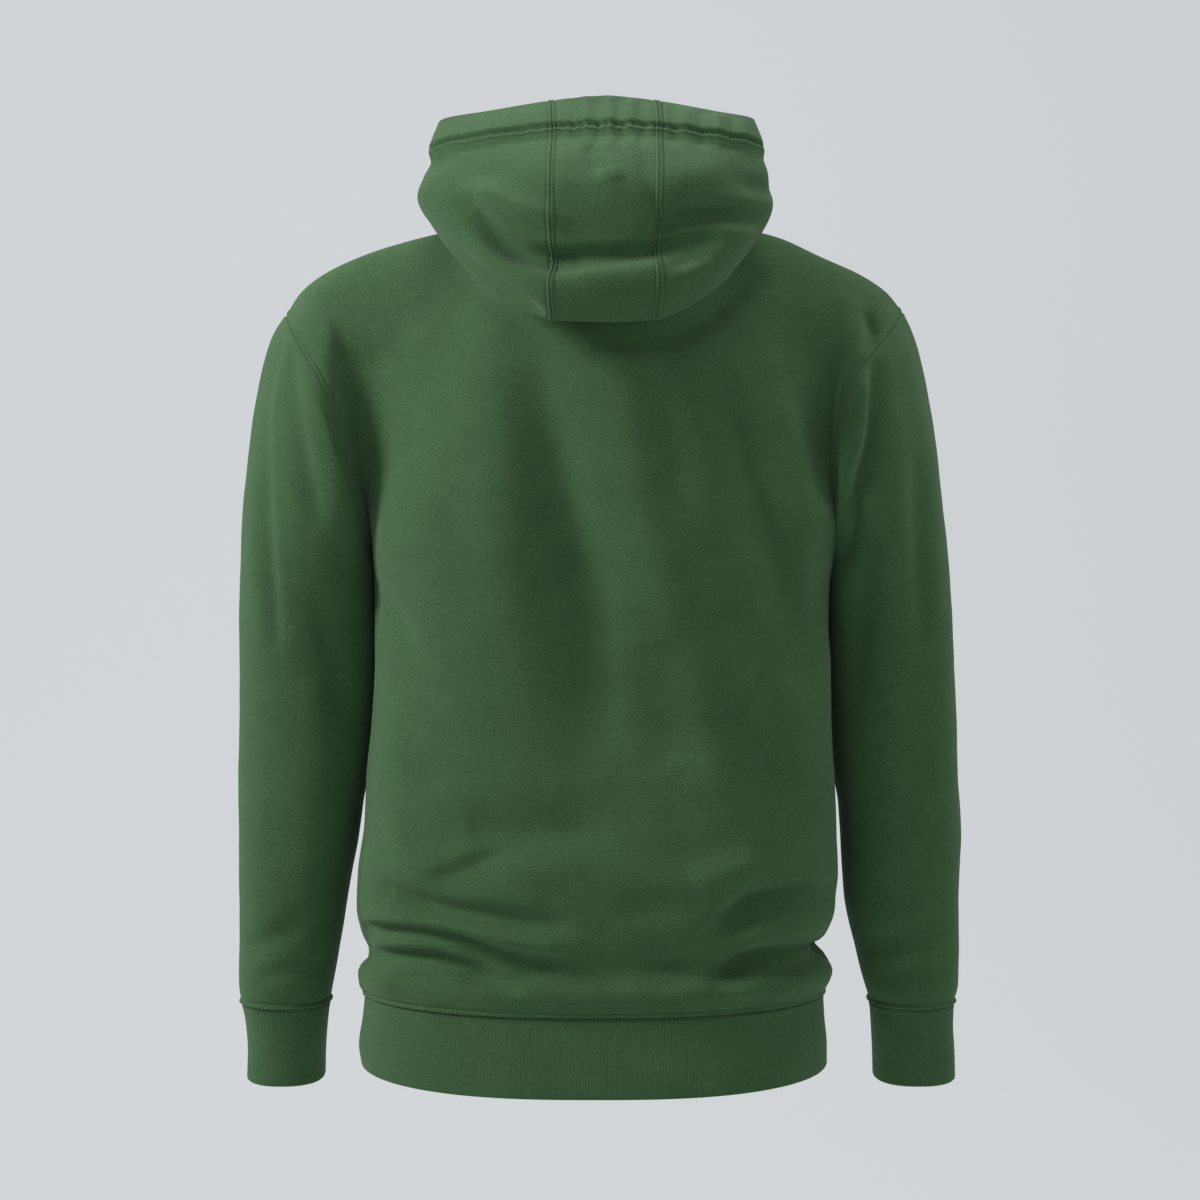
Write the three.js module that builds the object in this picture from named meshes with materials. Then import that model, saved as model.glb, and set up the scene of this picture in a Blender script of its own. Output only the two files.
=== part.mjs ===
// A pullover hoodie, filled out as worn, hollow, with its hood lying on the back.
// Millimetres. +Z is up, -Y is the garment's front and +X is the wearer's left.
// The origin lies between the shoulders at the base of the neck, where the wearer holds the garment up.
import * as THREE from "three";

// Cloth
const FLEECE = 2.4; // brushed fleece of the body, sleeves and hood
const RIB = 3.0; // doubled rib of the cuffs and the hem band
const CASING = 4.2; // the hood's edge, where the fleece is turned under
const SEAM_GAP = 0.3; // between pieces that are sewn together
const SAME_WAY = 0.8; // cosine between two of three pieces that face the same way where they meet
const SHARPEST_MITRE = 1.8; // most that a wall may lengthen where two pieces meet at an angle

// Torso
const SQUARENESS = 2.6; // 2 is an ellipse, more is squarer
const WIDER_BEHIND = 0.07; // how much wider the back's half of a ring is than its front's half
const CHEST_Z = -255; // the armpits' level
const SHOULDER_SHARE = 8 / 32; // share of a panel's width that ends in each shoulder seam
const SIDE_DENSITY = 0.3; // how much closer the grid's columns lie at the side seams
const PANEL_COLUMNS = 32;
const ARMHOLE_ROWS = 10;

// Neckline, a loop round the neck
const NECK = { halfWidth: 88, back: 70, front: 82, sideZ: 15, backDrop: 7, frontDrop: 89, frontRound: 1.6 };
const CENTRE_PANEL_ANGLE = 62; // degrees, where the hood's centre panel ends on the neckline

// Torso below the armpits, a row for each level: half-widths to the wearer's left and right,
// depths to the back and front, and how far the left side seam is turned towards the back, in degrees.
const TORSO = [
  { z: -627, left: 190, right: 187, back: 109, front: 106, seamTurn: 18 },
  { z: -618, left: 195, right: 191, back: 114, front: 111, seamTurn: 18 },
  { z: -607, left: 196, right: 194, back: 117, front: 114, seamTurn: 18 },
  { z: -596, left: 188, right: 190, back: 115, front: 113, seamTurn: 18 },
  { z: -584, left: 187, right: 182, back: 114, front: 112, seamTurn: 18 },
  { z: -568, left: 193, right: 190, back: 118, front: 115, seamTurn: 18 },
  { z: -548, left: 197, right: 197, back: 122, front: 118, seamTurn: 18 },
  { z: -522, left: 196, right: 199, back: 123, front: 119, seamTurn: 18 },
  { z: -485, left: 191, right: 198, back: 121, front: 118, seamTurn: 18 },
  { z: -440, left: 188, right: 196, back: 119, front: 117, seamTurn: 18 },
  { z: -395, left: 184, right: 194, back: 118, front: 117, seamTurn: 17 },
  { z: -345, left: 181, right: 193, back: 119, front: 118, seamTurn: 14 },
  { z: -300, left: 181, right: 192, back: 121, front: 118, seamTurn: 8 },
  { z: CHEST_Z, left: 184, right: 192, back: 122, front: 117, seamTurn: 0 },
];
const TORSO_ROWS = [
  -627, -618, -607, -596, -584, -572, -560, -548, -535, -522, -505, -485, -463, -440, -418, -395, -370, -345, -322,
  -300, -278, CHEST_Z,
];

// Shoulder seams, from tip to neck
const SHOULDER = [
  { leftX: 257, leftZ: -63, rightX: 254, rightZ: -60 },
  { leftX: 244, leftZ: -43, rightX: 240, rightZ: -43 },
  { leftX: 222, leftZ: -26.5, rightX: 218, rightZ: -28.5 },
  { leftX: 190, leftZ: -12, rightX: 187, rightZ: -14.5 },
  { leftX: 155, leftZ: -1, rightX: 152, rightZ: 1.5 },
  { leftX: 120, leftZ: 7.5, rightX: 118, rightZ: 9.5 },
  { leftX: 88, leftZ: 15, rightX: 88, rightZ: 15 },
];

// Armholes between armpit and shoulder tip
const ARMHOLE = [
  { leftX: 185, rightX: 192, back: 27, front: 25, z: -246 },
  { leftX: 189, rightX: 193, back: 51, front: 47, z: -222 },
  { leftX: 197, rightX: 194.5, back: 66, front: 60, z: -190 },
  { leftX: 208, rightX: 198, back: 70, front: 64, z: -155 },
  { leftX: 222, rightX: 208, back: 64, front: 58, z: -122 },
  { leftX: 238, rightX: 226, back: 48, front: 44, z: -97 },
  { leftX: 250, rightX: 243, back: 26, front: 24, z: -77 },
];

// Sleeves below the armpit: edges towards the body and away from it on each side, half-depth,
// and how far forward the arm hangs.
const SLEEVE = [
  { z: -330, leftIn: 183, leftOut: 297, rightIn: 195.5, rightOut: 297, depth: 58, forward: 14 },
  { z: -373, leftIn: 185.5, leftOut: 297.5, rightIn: 197, rightOut: 299, depth: 56, forward: 17 },
  { z: -436, leftIn: 191.5, leftOut: 299, rightIn: 201, rightOut: 301.5, depth: 54, forward: 19 },
  { z: -498, leftIn: 199, leftOut: 298.5, rightIn: 205, rightOut: 305, depth: 50, forward: 21 },
  { z: -548, leftIn: 208, leftOut: 298, rightIn: 208.5, rightOut: 304, depth: 46, forward: 23 },
  { z: -590, leftIn: 215.5, leftOut: 299, rightIn: 218, rightOut: 305, depth: 42, forward: 26 },
  { z: -620, leftIn: 221, leftOut: 300, rightIn: 225, rightOut: 304, depth: 39.5, forward: 29 },
  { z: -636, leftIn: 224, leftOut: 298, rightIn: 230, rightOut: 301, depth: 36, forward: 31 },
];
const SLEEVE_ROWS = [-330, -373, -415, -457, -498, -535, -570, -600, -620, -628, -636];
const HEAD_ROWS = 7;
const HEAD_SPREAD = { left: 0.6, right: 0.4 }; // how far out the sleeve's head sets off from the shoulder tip

// Cuffs, as the sleeves
const CUFF = [
  { z: -636, leftIn: 224, leftOut: 298, rightIn: 230, rightOut: 301, depth: 36, forward: 31 },
  { z: -653, leftIn: 226, leftOut: 295, rightIn: 231.5, rightOut: 300.5, depth: 34, forward: 33 },
  { z: -676, leftIn: 228, leftOut: 293.5, rightIn: 233, rightOut: 302, depth: 33, forward: 35.5 },
  { z: -699, leftIn: 229, leftOut: 294.5, rightIn: 234, rightOut: 303, depth: 33, forward: 38 },
];
const CUFF_TILT = { top: 0.06, bottom: 0.12 }; // how much lower the back of a ring lies, per millimetre of depth

// Hem band, from the seam down
const HEM = [
  { drop: 0, left: 190, right: 187, back: 109, front: 106 },
  { drop: 20, left: 192, right: 188, back: 111, front: 107 },
  { drop: 42, left: 195, right: 190, back: 114, front: 109 },
  { drop: 56, left: 193, right: 190, back: 115, front: 111 },
];
const HEM_BACK_DROP = 6; // how much longer the band is at the back than at the sides
const HEM_SIDE_LIFT = { from: -570, height: 8 }; // the sides of the hem are drawn up, from this level down

// Hood, a row for each section from the nape round to the throat, one half of it. turn is the place along
// the neckline, 0 at the nape, 0.5 over the shoulder and 1 at the throat. The columns follow the cloth from
// the neckline: under the roll, up its outside, over the crease and the face to the casing and the free edge.
const HOOD = [
  {
    turn: 0, rise: [0, 74, 22], over: [0, 92, 14], lap: [0, 120, -56], bottom: [0, 144, -86],
    roll: [0, 166, -62], crease: [0, 156, -30], face: [0, 151, 24], casing: [0, 110, 76], rim: [0, 80, 102],
  },
  {
    turn: 0.1875, rise: [43, 66, 23], over: [43, 84, 16], lap: [41, 112, -53], bottom: [40, 136, -83],
    roll: [42, 160, -60], crease: [41, 151, -29], face: [42, 147, 24], casing: [42, 106, 74], rim: [42, 76, 98],
  },
  {
    turn: 0.34, rise: [78, 40, 26], over: [88, 54, 24], lap: [93, 80, -16], bottom: [90, 108, -53],
    roll: [98, 132, -32], crease: [99, 130, 0], face: [98, 118, 34], casing: [94, 96, 69], rim: [90, 70, 91],
  },
  {
    turn: 0.5, rise: [92, 2, 27], over: [104, 14, 31], lap: [122, 34, 20], bottom: [134, 50, 7],
    roll: [142, 60, 22], crease: [139, 64, 42], face: [136, 64, 54], casing: [134, 60, 64], rim: [127, 50, 86],
  },
  {
    turn: 0.64, rise: [84, -38, 4], over: [95, -40, 14], lap: [110, -36, 19], bottom: [121, -31, 23],
    roll: [128, -26, 28], crease: [130, -22, 33], face: [130, -18, 39], casing: [127, -15, 47], rim: [118, -14, 66],
  },
  {
    turn: 0.82, rise: [50, -74, -43], over: [56, -82, -37], lap: [63, -89, -33], bottom: [69, -94, -29],
    roll: [73, -98, -25], crease: [76, -99, -21], face: [78, -98, -16], casing: [79, -95, -9], rim: [74, -82, 9],
  },
  {
    turn: 1, rise: [2.2, -83.4, -71.4], over: [3, -85.4, -68.8], lap: [3.8, -87.4, -66.2],
    bottom: [4.6, -89.4, -63.6], roll: [5.4, -91.2, -61.2], crease: [6, -92.8, -59.2],
    face: [6.6, -94.3, -57.3], casing: [7.4, -96, -55], rim: [13, -108, -37],
  },
];
const HOOD_LEVELS = ["rise", "over", "lap", "bottom", "roll", "crease", "face", "casing", "rim"];
const HOOD_LEAN = [0, -1, -2, -5, -8, -9, -9, -9, -10, -8]; // how far each level lies to the wearer's right
const HOOD_ROWS = [1, 1, 3, 2, 2, 2, 2, 3, 2]; // grid rows between one level and the next
const HOOD_HALF_COLUMNS = 16;
const CENTRE_HALF_COLUMNS = 3;
const THROAT_GAP = 0.15; // share of a column by which the hood's front edges stay apart

// Folds, drawn on the pieces as seen from the back or the front: a straight stretch from one point to the other,
// how far to each side it reaches, and how high it stands. A trough is negative.
const FOLDS = {
  back: [
    { fromX: 150, fromZ: -90, toX: 192, toZ: -122, halfWidth: 17, height: -6 },
    { fromX: 50, fromZ: -104, toX: 32, toZ: -167, halfWidth: 22, height: -6 },
    { fromX: 32, fromZ: -167, toX: 3, toZ: -375, halfWidth: 24, height: -5 },
    { fromX: -106, fromZ: -147, toX: -136, toZ: -234, halfWidth: 20, height: -7 },
    { fromX: -136, fromZ: -234, toX: -163, toZ: -317, halfWidth: 17, height: -6 },
    { fromX: -106, fromZ: -376, toX: -154, toZ: -453, halfWidth: 17, height: -5 },
    { fromX: 172, fromZ: -293, toX: 150, toZ: -333, halfWidth: 14, height: -4 },
    { fromX: 103, fromZ: -480, toX: 2, toZ: -482, halfWidth: 20, height: -3 },
    { fromX: 152, fromZ: -534, toX: 40, toZ: -548, halfWidth: 12, height: -5 },
    { fromX: 172, fromZ: -569, toX: 74, toZ: -576, halfWidth: 10, height: -5 },
    { fromX: 74, fromZ: -576, toX: 2, toZ: -588, halfWidth: 10, height: -4 },
    { fromX: -106, fromZ: -546, toX: -155, toZ: -530, halfWidth: 13, height: -8 },
    { fromX: -82, fromZ: -520, toX: -128, toZ: -505, halfWidth: 18, height: 4 },
    { fromX: -112, fromZ: -585, toX: -172, toZ: -582, halfWidth: 11, height: -8 },
  ],
  front: [
    { fromX: 118, fromZ: -160, toX: 158, toZ: -292, halfWidth: 20, height: -6 },
    { fromX: -112, fromZ: -150, toX: -160, toZ: -300, halfWidth: 20, height: -6 },
    { fromX: -20, fromZ: -190, toX: 8, toZ: -370, halfWidth: 26, height: -4 },
    { fromX: 150, fromZ: -532, toX: 60, toZ: -552, halfWidth: 13, height: -6 },
    { fromX: -158, fromZ: -528, toX: -92, toZ: -550, halfWidth: 13, height: -7 },
    { fromX: -120, fromZ: -588, toX: 30, toZ: -584, halfWidth: 11, height: -5 },
  ],
  sleeve_left: [
    { side: 1, fromX: 254, fromZ: -121, toX: 224, toZ: -211, halfWidth: 12, height: -5 },
    { side: 1, fromX: 266, fromZ: -165, toX: 256, toZ: -320, halfWidth: 11, height: -4 },
    { side: 1, fromX: 232, fromZ: -560, toX: 290, toZ: -590, halfWidth: 12, height: -4 },
    { side: -1, fromX: 268, fromZ: -130, toX: 224, toZ: -260, halfWidth: 13, height: -5 },
    { side: -1, fromX: 290, fromZ: -400, toX: 212, toZ: -372, halfWidth: 14, height: -5 },
    { side: -1, fromX: 290, fromZ: -470, toX: 216, toZ: -440, halfWidth: 12, height: -4 },
  ],
  sleeve_right: [
    { side: 1, fromX: -231, fromZ: -111, toX: -217, toZ: -232, halfWidth: 12, height: -4 },
    { side: 1, fromX: -262, fromZ: -182, toX: -266, toZ: -330, halfWidth: 13, height: -4 },
    { side: 1, fromX: -222, fromZ: -588, toX: -288, toZ: -566, halfWidth: 12, height: -4 },
    { side: -1, fromX: -262, fromZ: -130, toX: -222, toZ: -262, halfWidth: 13, height: -5 },
    { side: -1, fromX: -292, fromZ: -392, toX: -214, toZ: -366, halfWidth: 14, height: -5 },
    { side: -1, fromX: -292, fromZ: -462, toX: -218, toZ: -436, halfWidth: 12, height: -4 },
  ],
  hood_left: [
    { fromX: 136, fromZ: 53, toX: 118, toZ: 48, halfWidth: 8, height: -3 },
    { fromX: 143, fromZ: 29, toX: 130, toZ: 26, halfWidth: 12, height: 2 },
    { side: 1, fromX: 92, fromZ: 2, toX: 60, toZ: -27, halfWidth: 14, height: -5 },
  ],
  hood_right: [
    { fromX: -138, fromZ: 44, toX: -118, toZ: 40, halfWidth: 11, height: -9 },
    { side: 1, fromX: -62, fromZ: -22, toX: -122, toZ: -4, halfWidth: 11, height: 4 },
    { side: 1, fromX: -76, fromZ: 8, toX: -122, toZ: 12, halfWidth: 11, height: -4 },
  ],
};

const vec = (x, y, z) => new THREE.Vector3(x, y, z);
const radians = THREE.MathUtils.degToRad;
const signedPower = (value, power) => Math.sign(value) * Math.abs(value) ** power;
const smoothStep = THREE.MathUtils.smoothstep;

// A smooth curve through one column of a table that never overshoots its rows.
function smooth(rows, input, output) {
  const sorted = [...rows].sort((a, b) => a[input] - b[input]);
  const at = sorted.map((row) => row[input]);
  const value = sorted.map((row) => row[output]);
  const rise = at.slice(1).map((_, k) => (value[k + 1] - value[k]) / (at[k + 1] - at[k]));
  const slope = at.map((_, k) => {
    if (k === 0) return rise[0];
    if (k === at.length - 1) return rise[k - 1];
    return rise[k - 1] * rise[k] <= 0 ? 0 : (2 * rise[k - 1] * rise[k]) / (rise[k - 1] + rise[k]);
  });
  return (input_) => {
    const x = Math.min(Math.max(input_, at[0]), at[at.length - 1]);
    let k = 0;
    while (k < at.length - 2 && x > at[k + 1]) k += 1;
    const width = at[k + 1] - at[k];
    const [h00, h10, h01, h11] = hermite((x - at[k]) / width);
    return h00 * value[k] + h10 * width * slope[k] + h01 * value[k + 1] + h11 * width * slope[k + 1];
  };
}

// The four weights of a cubic curve: start, leaving direction, end, arriving direction.
function hermite(t) {
  const t2 = t * t;
  const t3 = t2 * t;
  return [2 * t3 - 3 * t2 + 1, t3 - 2 * t2 + t, -2 * t3 + 3 * t2, t3 - t2];
}

// A point at a share of the way along a smooth curve through points.
function along(points, share) {
  const place = Math.min(Math.max(share, 0), 1) * (points.length - 1);
  const k = Math.min(Math.floor(place), points.length - 2);
  const before = points[Math.max(k - 1, 0)];
  const after = points[Math.min(k + 2, points.length - 1)];
  const leave = points[k + 1].clone().sub(before).multiplyScalar(0.5);
  const arrive = after.clone().sub(points[k]).multiplyScalar(0.5);
  return curve(points[k], leave, points[k + 1], arrive, place - k);
}

function curve(start, leave, end, arrive, t) {
  const weights = hermite(t);
  return [start, leave, end, arrive].reduce((sum, v, k) => sum.addScaledVector(v, weights[k]), vec(0, 0, 0));
}

const torsoColumn = Object.fromEntries(
  ["left", "right", "back", "front", "seamTurn"].map((name) => [name, smooth(TORSO, "z", name)]),
);

// A point of a rounded-square ring. Angle 0 is the wearer's left and 90 degrees is the back.
function ringPoint({ left, right, back, front }, angle, z) {
  const across = signedPower(Math.cos(angle), 2 / SQUARENESS) * (1 + WIDER_BEHIND * (Math.sin(angle) - 0.1));
  const deep = signedPower(Math.sin(angle), 2 / SQUARENESS);
  return vec(across * (across > 0 ? left : right), deep * (deep > 0 ? back : front), z);
}

// Turns an even share of a half ring's length into its angle.
const evenAngle = (() => {
  const steps = 360;
  const chest = TORSO[TORSO.length - 1];
  const angles = Array.from({ length: steps + 1 }, (_, k) => (Math.PI * k) / steps);
  const lengths = [0];
  for (let k = 1; k <= steps; k += 1) {
    const step = ringPoint(chest, angles[k], 0).distanceTo(ringPoint(chest, angles[k - 1], 0));
    lengths.push(lengths[k - 1] + step);
  }
  return (share) => {
    const wanted = share * lengths[steps];
    let k = 1;
    while (k < steps && lengths[k] < wanted) k += 1;
    return angles[k - 1] + ((angles[k] - angles[k - 1]) * (wanted - lengths[k - 1])) / (lengths[k] - lengths[k - 1]);
  };
})();

// The angle of a panel's column at one level. The back runs from left to right, the front from right to left.
function columnAngle(side, share, turn) {
  const denser = share - (SIDE_DENSITY * Math.sin(2 * Math.PI * share)) / (2 * Math.PI);
  const even = evenAngle(denser);
  const seam = radians(turn);
  return side === "back" ? seam + (even * (Math.PI - seam)) / Math.PI : Math.PI + (even * (Math.PI + seam)) / Math.PI;
}

function torsoPoint(side, share, z) {
  const level = {};
  for (const [name, at] of Object.entries(torsoColumn)) level[name] = at(z);
  const angle = columnAngle(side, share, level.seamTurn);
  return ringPoint(level, angle, z + sideLift(angle, z));
}

function sideLift(angle, z) {
  return HEM_SIDE_LIFT.height * Math.cos(angle) ** 2 * smoothStep(-z, -HEM_SIDE_LIFT.from, -TORSO[0].z);
}

// The neckline. Angle 0 is the wearer's left and 90 degrees is the nape.
function neckPoint(angle) {
  const across = Math.cos(angle);
  const deep = Math.sin(angle);
  const z = deep > 0
    ? NECK.sideZ - NECK.backDrop * deep ** 2
    : NECK.sideZ - NECK.frontDrop * Math.abs(deep) ** NECK.frontRound;
  return vec(NECK.halfWidth * across, deep * (deep > 0 ? NECK.back : NECK.front), z);
}

// The neckline's angle at a place on the hood's half: 0 at the nape, 0.5 over the shoulder, 1 at the throat.
function neckAngle(turn) {
  const centre = CENTRE_HALF_COLUMNS / HOOD_HALF_COLUMNS;
  if (turn < centre) return radians(90 - ((90 - CENTRE_PANEL_ANGLE) * turn) / centre);
  if (turn < 0.5) return radians((CENTRE_PANEL_ANGLE * (0.5 - turn)) / (0.5 - centre));
  return radians(-90 * (turn - 0.5) * 2);
}

function mirrored(point, hand) {
  return hand === "left" ? point : vec(-point.x, point.y, point.z);
}

const shoulderLine = {
  left: SHOULDER.map((row) => vec(row.leftX, 0, row.leftZ)),
  right: SHOULDER.map((row) => vec(-row.rightX, 0, row.rightZ)),
};

// A panel's top edge: shoulder seam, neckline, shoulder seam.
function topPoint(side, share) {
  const [first, last] = side === "back" ? ["left", "right"] : ["right", "left"];
  if (share <= SHOULDER_SHARE) return along(shoulderLine[first], share / SHOULDER_SHARE);
  if (share >= 1 - SHOULDER_SHARE) return along(shoulderLine[last], (1 - share) / SHOULDER_SHARE);
  const across = (share - SHOULDER_SHARE) / (1 - 2 * SHOULDER_SHARE);
  const hand = across < 0.5 ? first : last;
  const fromMiddle = Math.abs(across - 0.5);
  return mirrored(neckPoint(neckAngle(side === "back" ? fromMiddle : 1 - fromMiddle)), hand);
}

// Points of an armhole's half, from armpit to shoulder tip.
function armholeLine(side, hand) {
  const armpit = torsoPoint(side, (side === "back") === (hand === "left") ? 0 : 1, CHEST_Z);
  const middle = ARMHOLE.map((row) => vec(
    hand === "left" ? row.leftX : -row.rightX,
    side === "back" ? row.back : -row.front,
    row.z,
  ));
  return [armpit, ...middle, shoulderLine[hand][0].clone()];
}

// The panel above the armpits, from the chest level to the shoulder seams and the neckline.
function yokePoint(side, share, climb) {
  const facing = side === "back" ? 1 : -1;
  const start = torsoPoint(side, share, CHEST_Z);
  const end = topPoint(side, share);
  const neck = smoothStep(share, 0.2, 0.36) * smoothStep(1 - share, 0.2, 0.36);
  const leave = vec(0, 0, end.z - start.z).multiplyScalar(1.05);
  const overShoulder = vec(0, -facing * Math.abs(end.y - start.y), 12).multiplyScalar(1.25);
  const toNeck = side === "back" ? vec(0, -75, 72) : vec(0, 38, 120);
  const point = curve(start, leave, end, overShoulder.lerp(toNeck, neck), climb);
  const [first, last] = side === "back" ? ["left", "right"] : ["right", "left"];
  for (const [hand, edge, from] of [[first, share, 0], [last, 1 - share, 1]]) {
    const reach = Math.max(0, 1 - edge / ARMHOLE_REACH) ** 2;
    if (!reach) continue;
    const edgeStart = torsoPoint(side, from, CHEST_Z);
    const edgeEnd = topPoint(side, from);
    const edgeLeave = vec(0, 0, edgeEnd.z - edgeStart.z).multiplyScalar(1.05);
    const edgeArrive = vec(0, -facing * Math.abs(edgeEnd.y - edgeStart.y), 12).multiplyScalar(1.25);
    const plain = curve(edgeStart, edgeLeave, edgeEnd, edgeArrive, climb);
    point.addScaledVector(along(armholeLine(side, hand), climb).sub(plain), reach);
  }
  return point;
}
const ARMHOLE_REACH = 0.2; // share of a panel's width over which it follows its armhole

function panelGrid(side) {
  const rows = TORSO_ROWS.map((z) => (share) => torsoPoint(side, share, z));
  for (let k = 1; k <= ARMHOLE_ROWS; k += 1) rows.push((share) => yokePoint(side, share, k / ARMHOLE_ROWS));
  return rows.map((row) => columns(PANEL_COLUMNS, row));
}

function columns(count, point, closed = false) {
  return Array.from({ length: closed ? count : count + 1 }, (_, k) => point(k / count));
}

const sleeveColumn = Object.fromEntries(
  ["leftIn", "leftOut", "rightIn", "rightOut", "depth", "forward"].map((name) => [name, smooth([...SLEEVE, ...CUFF.slice(1)], "z", name)]),
);

// A ring of a sleeve or cuff. Share 0 faces away from the body, 0.25 the back and 0.5 the body.
function sleeveRing(hand, share, z, tilt = 0) {
  const inner = sleeveColumn[hand + "In"](z);
  const outer = sleeveColumn[hand + "Out"](z);
  const angle = share * 2 * Math.PI;
  const deep = sleeveColumn.depth(z) * Math.sin(angle);
  const x = (outer + inner) / 2 + ((outer - inner) / 2) * Math.cos(angle);
  return mirrored(vec(x, deep - sleeveColumn.forward(z), z - deep * tilt), hand);
}

// The armhole as the sleeve's first ring, from the shoulder tip by the back to the armpit and up the front.
function armholeRing(hand, share) {
  const side = share <= 0.5 ? "back" : "front";
  return along(armholeLine(side, hand), side === "back" ? 1 - 2 * share : 2 * share - 1);
}

// The sleeve's head, between the armhole and its first full ring.
function headPoint(hand, share, down) {
  const start = armholeRing(hand, share);
  const end = sleeveRing(hand, share, SLEEVE[0].z);
  const outward = Math.cos(share * 2 * Math.PI);
  const backward = Math.sin(share * 2 * Math.PI);
  const chord = start.distanceTo(end);
  const spread = 0.45 + (HEAD_SPREAD[hand] - 0.45) * 0.5 * (outward + outward ** 2);
  const leave = mirrored(vec(spread, 0.42 * backward, -0.8 + 0.2 * outward), hand);
  return curve(start, leave.multiplyScalar(chord * 0.62), end, vec(0, 0, -chord * 0.9), down);
}

function sleeveGrid(hand) {
  const rows = [];
  for (let k = 0; k < HEAD_ROWS; k += 1) rows.push((share) => headPoint(hand, share, k / HEAD_ROWS));
  for (const z of SLEEVE_ROWS) rows.push((share) => sleeveRing(hand, share, z, z === CUFF[0].z ? CUFF_TILT.top : 0));
  return rows.map((row) => columns(2 * ARMHOLE_ROWS, row, true));
}

function cuffGrid(hand) {
  const last = CUFF.length - 1;
  return CUFF.map((level, k) => {
    const tilt = CUFF_TILT.top + ((CUFF_TILT.bottom - CUFF_TILT.top) * k) / last;
    return columns(2 * ARMHOLE_ROWS, (share) => sleeveRing(hand, share, level.z, tilt), true);
  });
}

// The hem band's rings go all round: the back panel's columns, then the front's.
function hemGrid() {
  const seamZ = TORSO[0].z;
  const turn = TORSO[0].seamTurn;
  return HEM.map((level, k) => ["back", "front"].flatMap((side) => {
    const half = columns(PANEL_COLUMNS, (share) => {
      if (k === 0) return torsoPoint(side, share, seamZ);
      const angle = columnAngle(side, share, turn);
      const backDrop = (HEM_BACK_DROP * k * Math.max(0, Math.sin(angle))) / (HEM.length - 1);
      return ringPoint(level, angle, seamZ + sideLift(angle, seamZ) - level.drop - backDrop);
    });
    return half.slice(0, PANEL_COLUMNS);
  }));
}

const hoodColumn = HOOD_LEVELS.map((level) => [0, 1, 2].map((axis) => smooth(
  HOOD.map((row) => ({ turn: row.turn, value: row[level][axis] })),
  "turn",
  "value",
)));

// A point of the hood. Turn runs from 0 at the nape to 1 at the throat, and level counts from the neckline.
function hoodPoint(hand, turn, level) {
  const section = [neckPoint(neckAngle(turn)), ...hoodColumn.map((axes) => vec(...axes.map((at) => at(turn))))];
  const point = mirrored(along(section, level / (section.length - 1)), hand);
  const k = Math.min(Math.floor(level), HOOD_LEAN.length - 2);
  const lean = HOOD_LEAN[k] + (HOOD_LEAN[k + 1] - HOOD_LEAN[k]) * (level - k);
  point.x += lean * Math.max(0, 1 - turn * 2) ** 0.5;
  return point;
}

function hoodLevels() {
  const levels = [0];
  HOOD_ROWS.forEach((count, k) => {
    for (let step = 1; step <= count; step += 1) levels.push(k + step / count);
  });
  return levels;
}

// A hood panel between two places counted in columns from the wearer's left throat, through the nape, to the right.
function hoodGrid(firstColumn, lastColumn) {
  return hoodLevels().map((level) => {
    const row = [];
    for (let column = firstColumn; column <= lastColumn; column += 1) {
      const fromNape = column - HOOD_HALF_COLUMNS;
      const hand = fromNape <= 0 ? "left" : "right";
      const turn = Math.abs(fromNape) / HOOD_HALF_COLUMNS;
      const point = hoodPoint(hand, turn, level);
      if (level === 0 && turn === 1) {
        const sewnAt = point.clone();
        point.lerp(hoodPoint(hand, 1 - 1 / HOOD_HALF_COLUMNS, 0), THROAT_GAP);
        point.sewnAt = sewnAt;
      }
      row.push(point);
    }
    return row;
  });
}

const casingThickness = (row, rows) => {
  const casingRows = HOOD_ROWS[HOOD_ROWS.length - 1];
  return row >= rows - 1 - casingRows ? CASING : FLEECE;
};

// Every piece of cloth: its outer points by rows, whether its rows close into rings, and which way it faces.
const PIECES = [
  { name: "back", grid: panelGrid("back"), colour: 0x41603f },
  { name: "front", grid: panelGrid("front"), colour: 0x41603f },
  { name: "sleeve_left", grid: sleeveGrid("left"), closed: true, turned: true },
  { name: "sleeve_right", grid: sleeveGrid("right"), closed: true },
  { name: "cuff_left", grid: cuffGrid("left"), closed: true, turned: true, thickness: () => RIB },
  { name: "cuff_right", grid: cuffGrid("right"), closed: true, thickness: () => RIB },
  { name: "hem_band", grid: hemGrid(), closed: true, turned: true, thickness: () => RIB },
  { name: "hood_left", grid: hoodGrid(0, HOOD_HALF_COLUMNS - CENTRE_HALF_COLUMNS), thickness: casingThickness },
  {
    name: "hood_centre",
    grid: hoodGrid(HOOD_HALF_COLUMNS - CENTRE_HALF_COLUMNS, HOOD_HALF_COLUMNS + CENTRE_HALF_COLUMNS),
    thickness: casingThickness,
  },
  {
    name: "hood_right",
    grid: hoodGrid(HOOD_HALF_COLUMNS + CENTRE_HALF_COLUMNS, 2 * HOOD_HALF_COLUMNS),
    thickness: casingThickness,
  },
];

// A piece's point next to another in its grid, or nothing past an open edge.
function neighbour(piece, row, column) {
  const line = piece.grid[row];
  if (!line) return undefined;
  return piece.closed ? line[(column + line.length) % line.length] : line[column];
}

// The way the outside faces at each point of a piece.
function facing(piece) {
  return piece.grid.map((line, row) => line.map((point, column) => {
    const across = (neighbour(piece, row, column + 1) ?? point).clone()
      .sub(neighbour(piece, row, column - 1) ?? point);
    const up = (neighbour(piece, row + 1, column) ?? point).clone()
      .sub(neighbour(piece, row - 1, column) ?? point);
    return across.cross(up).normalize().multiplyScalar(piece.turned ? -1 : 1);
  }));
}

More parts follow.
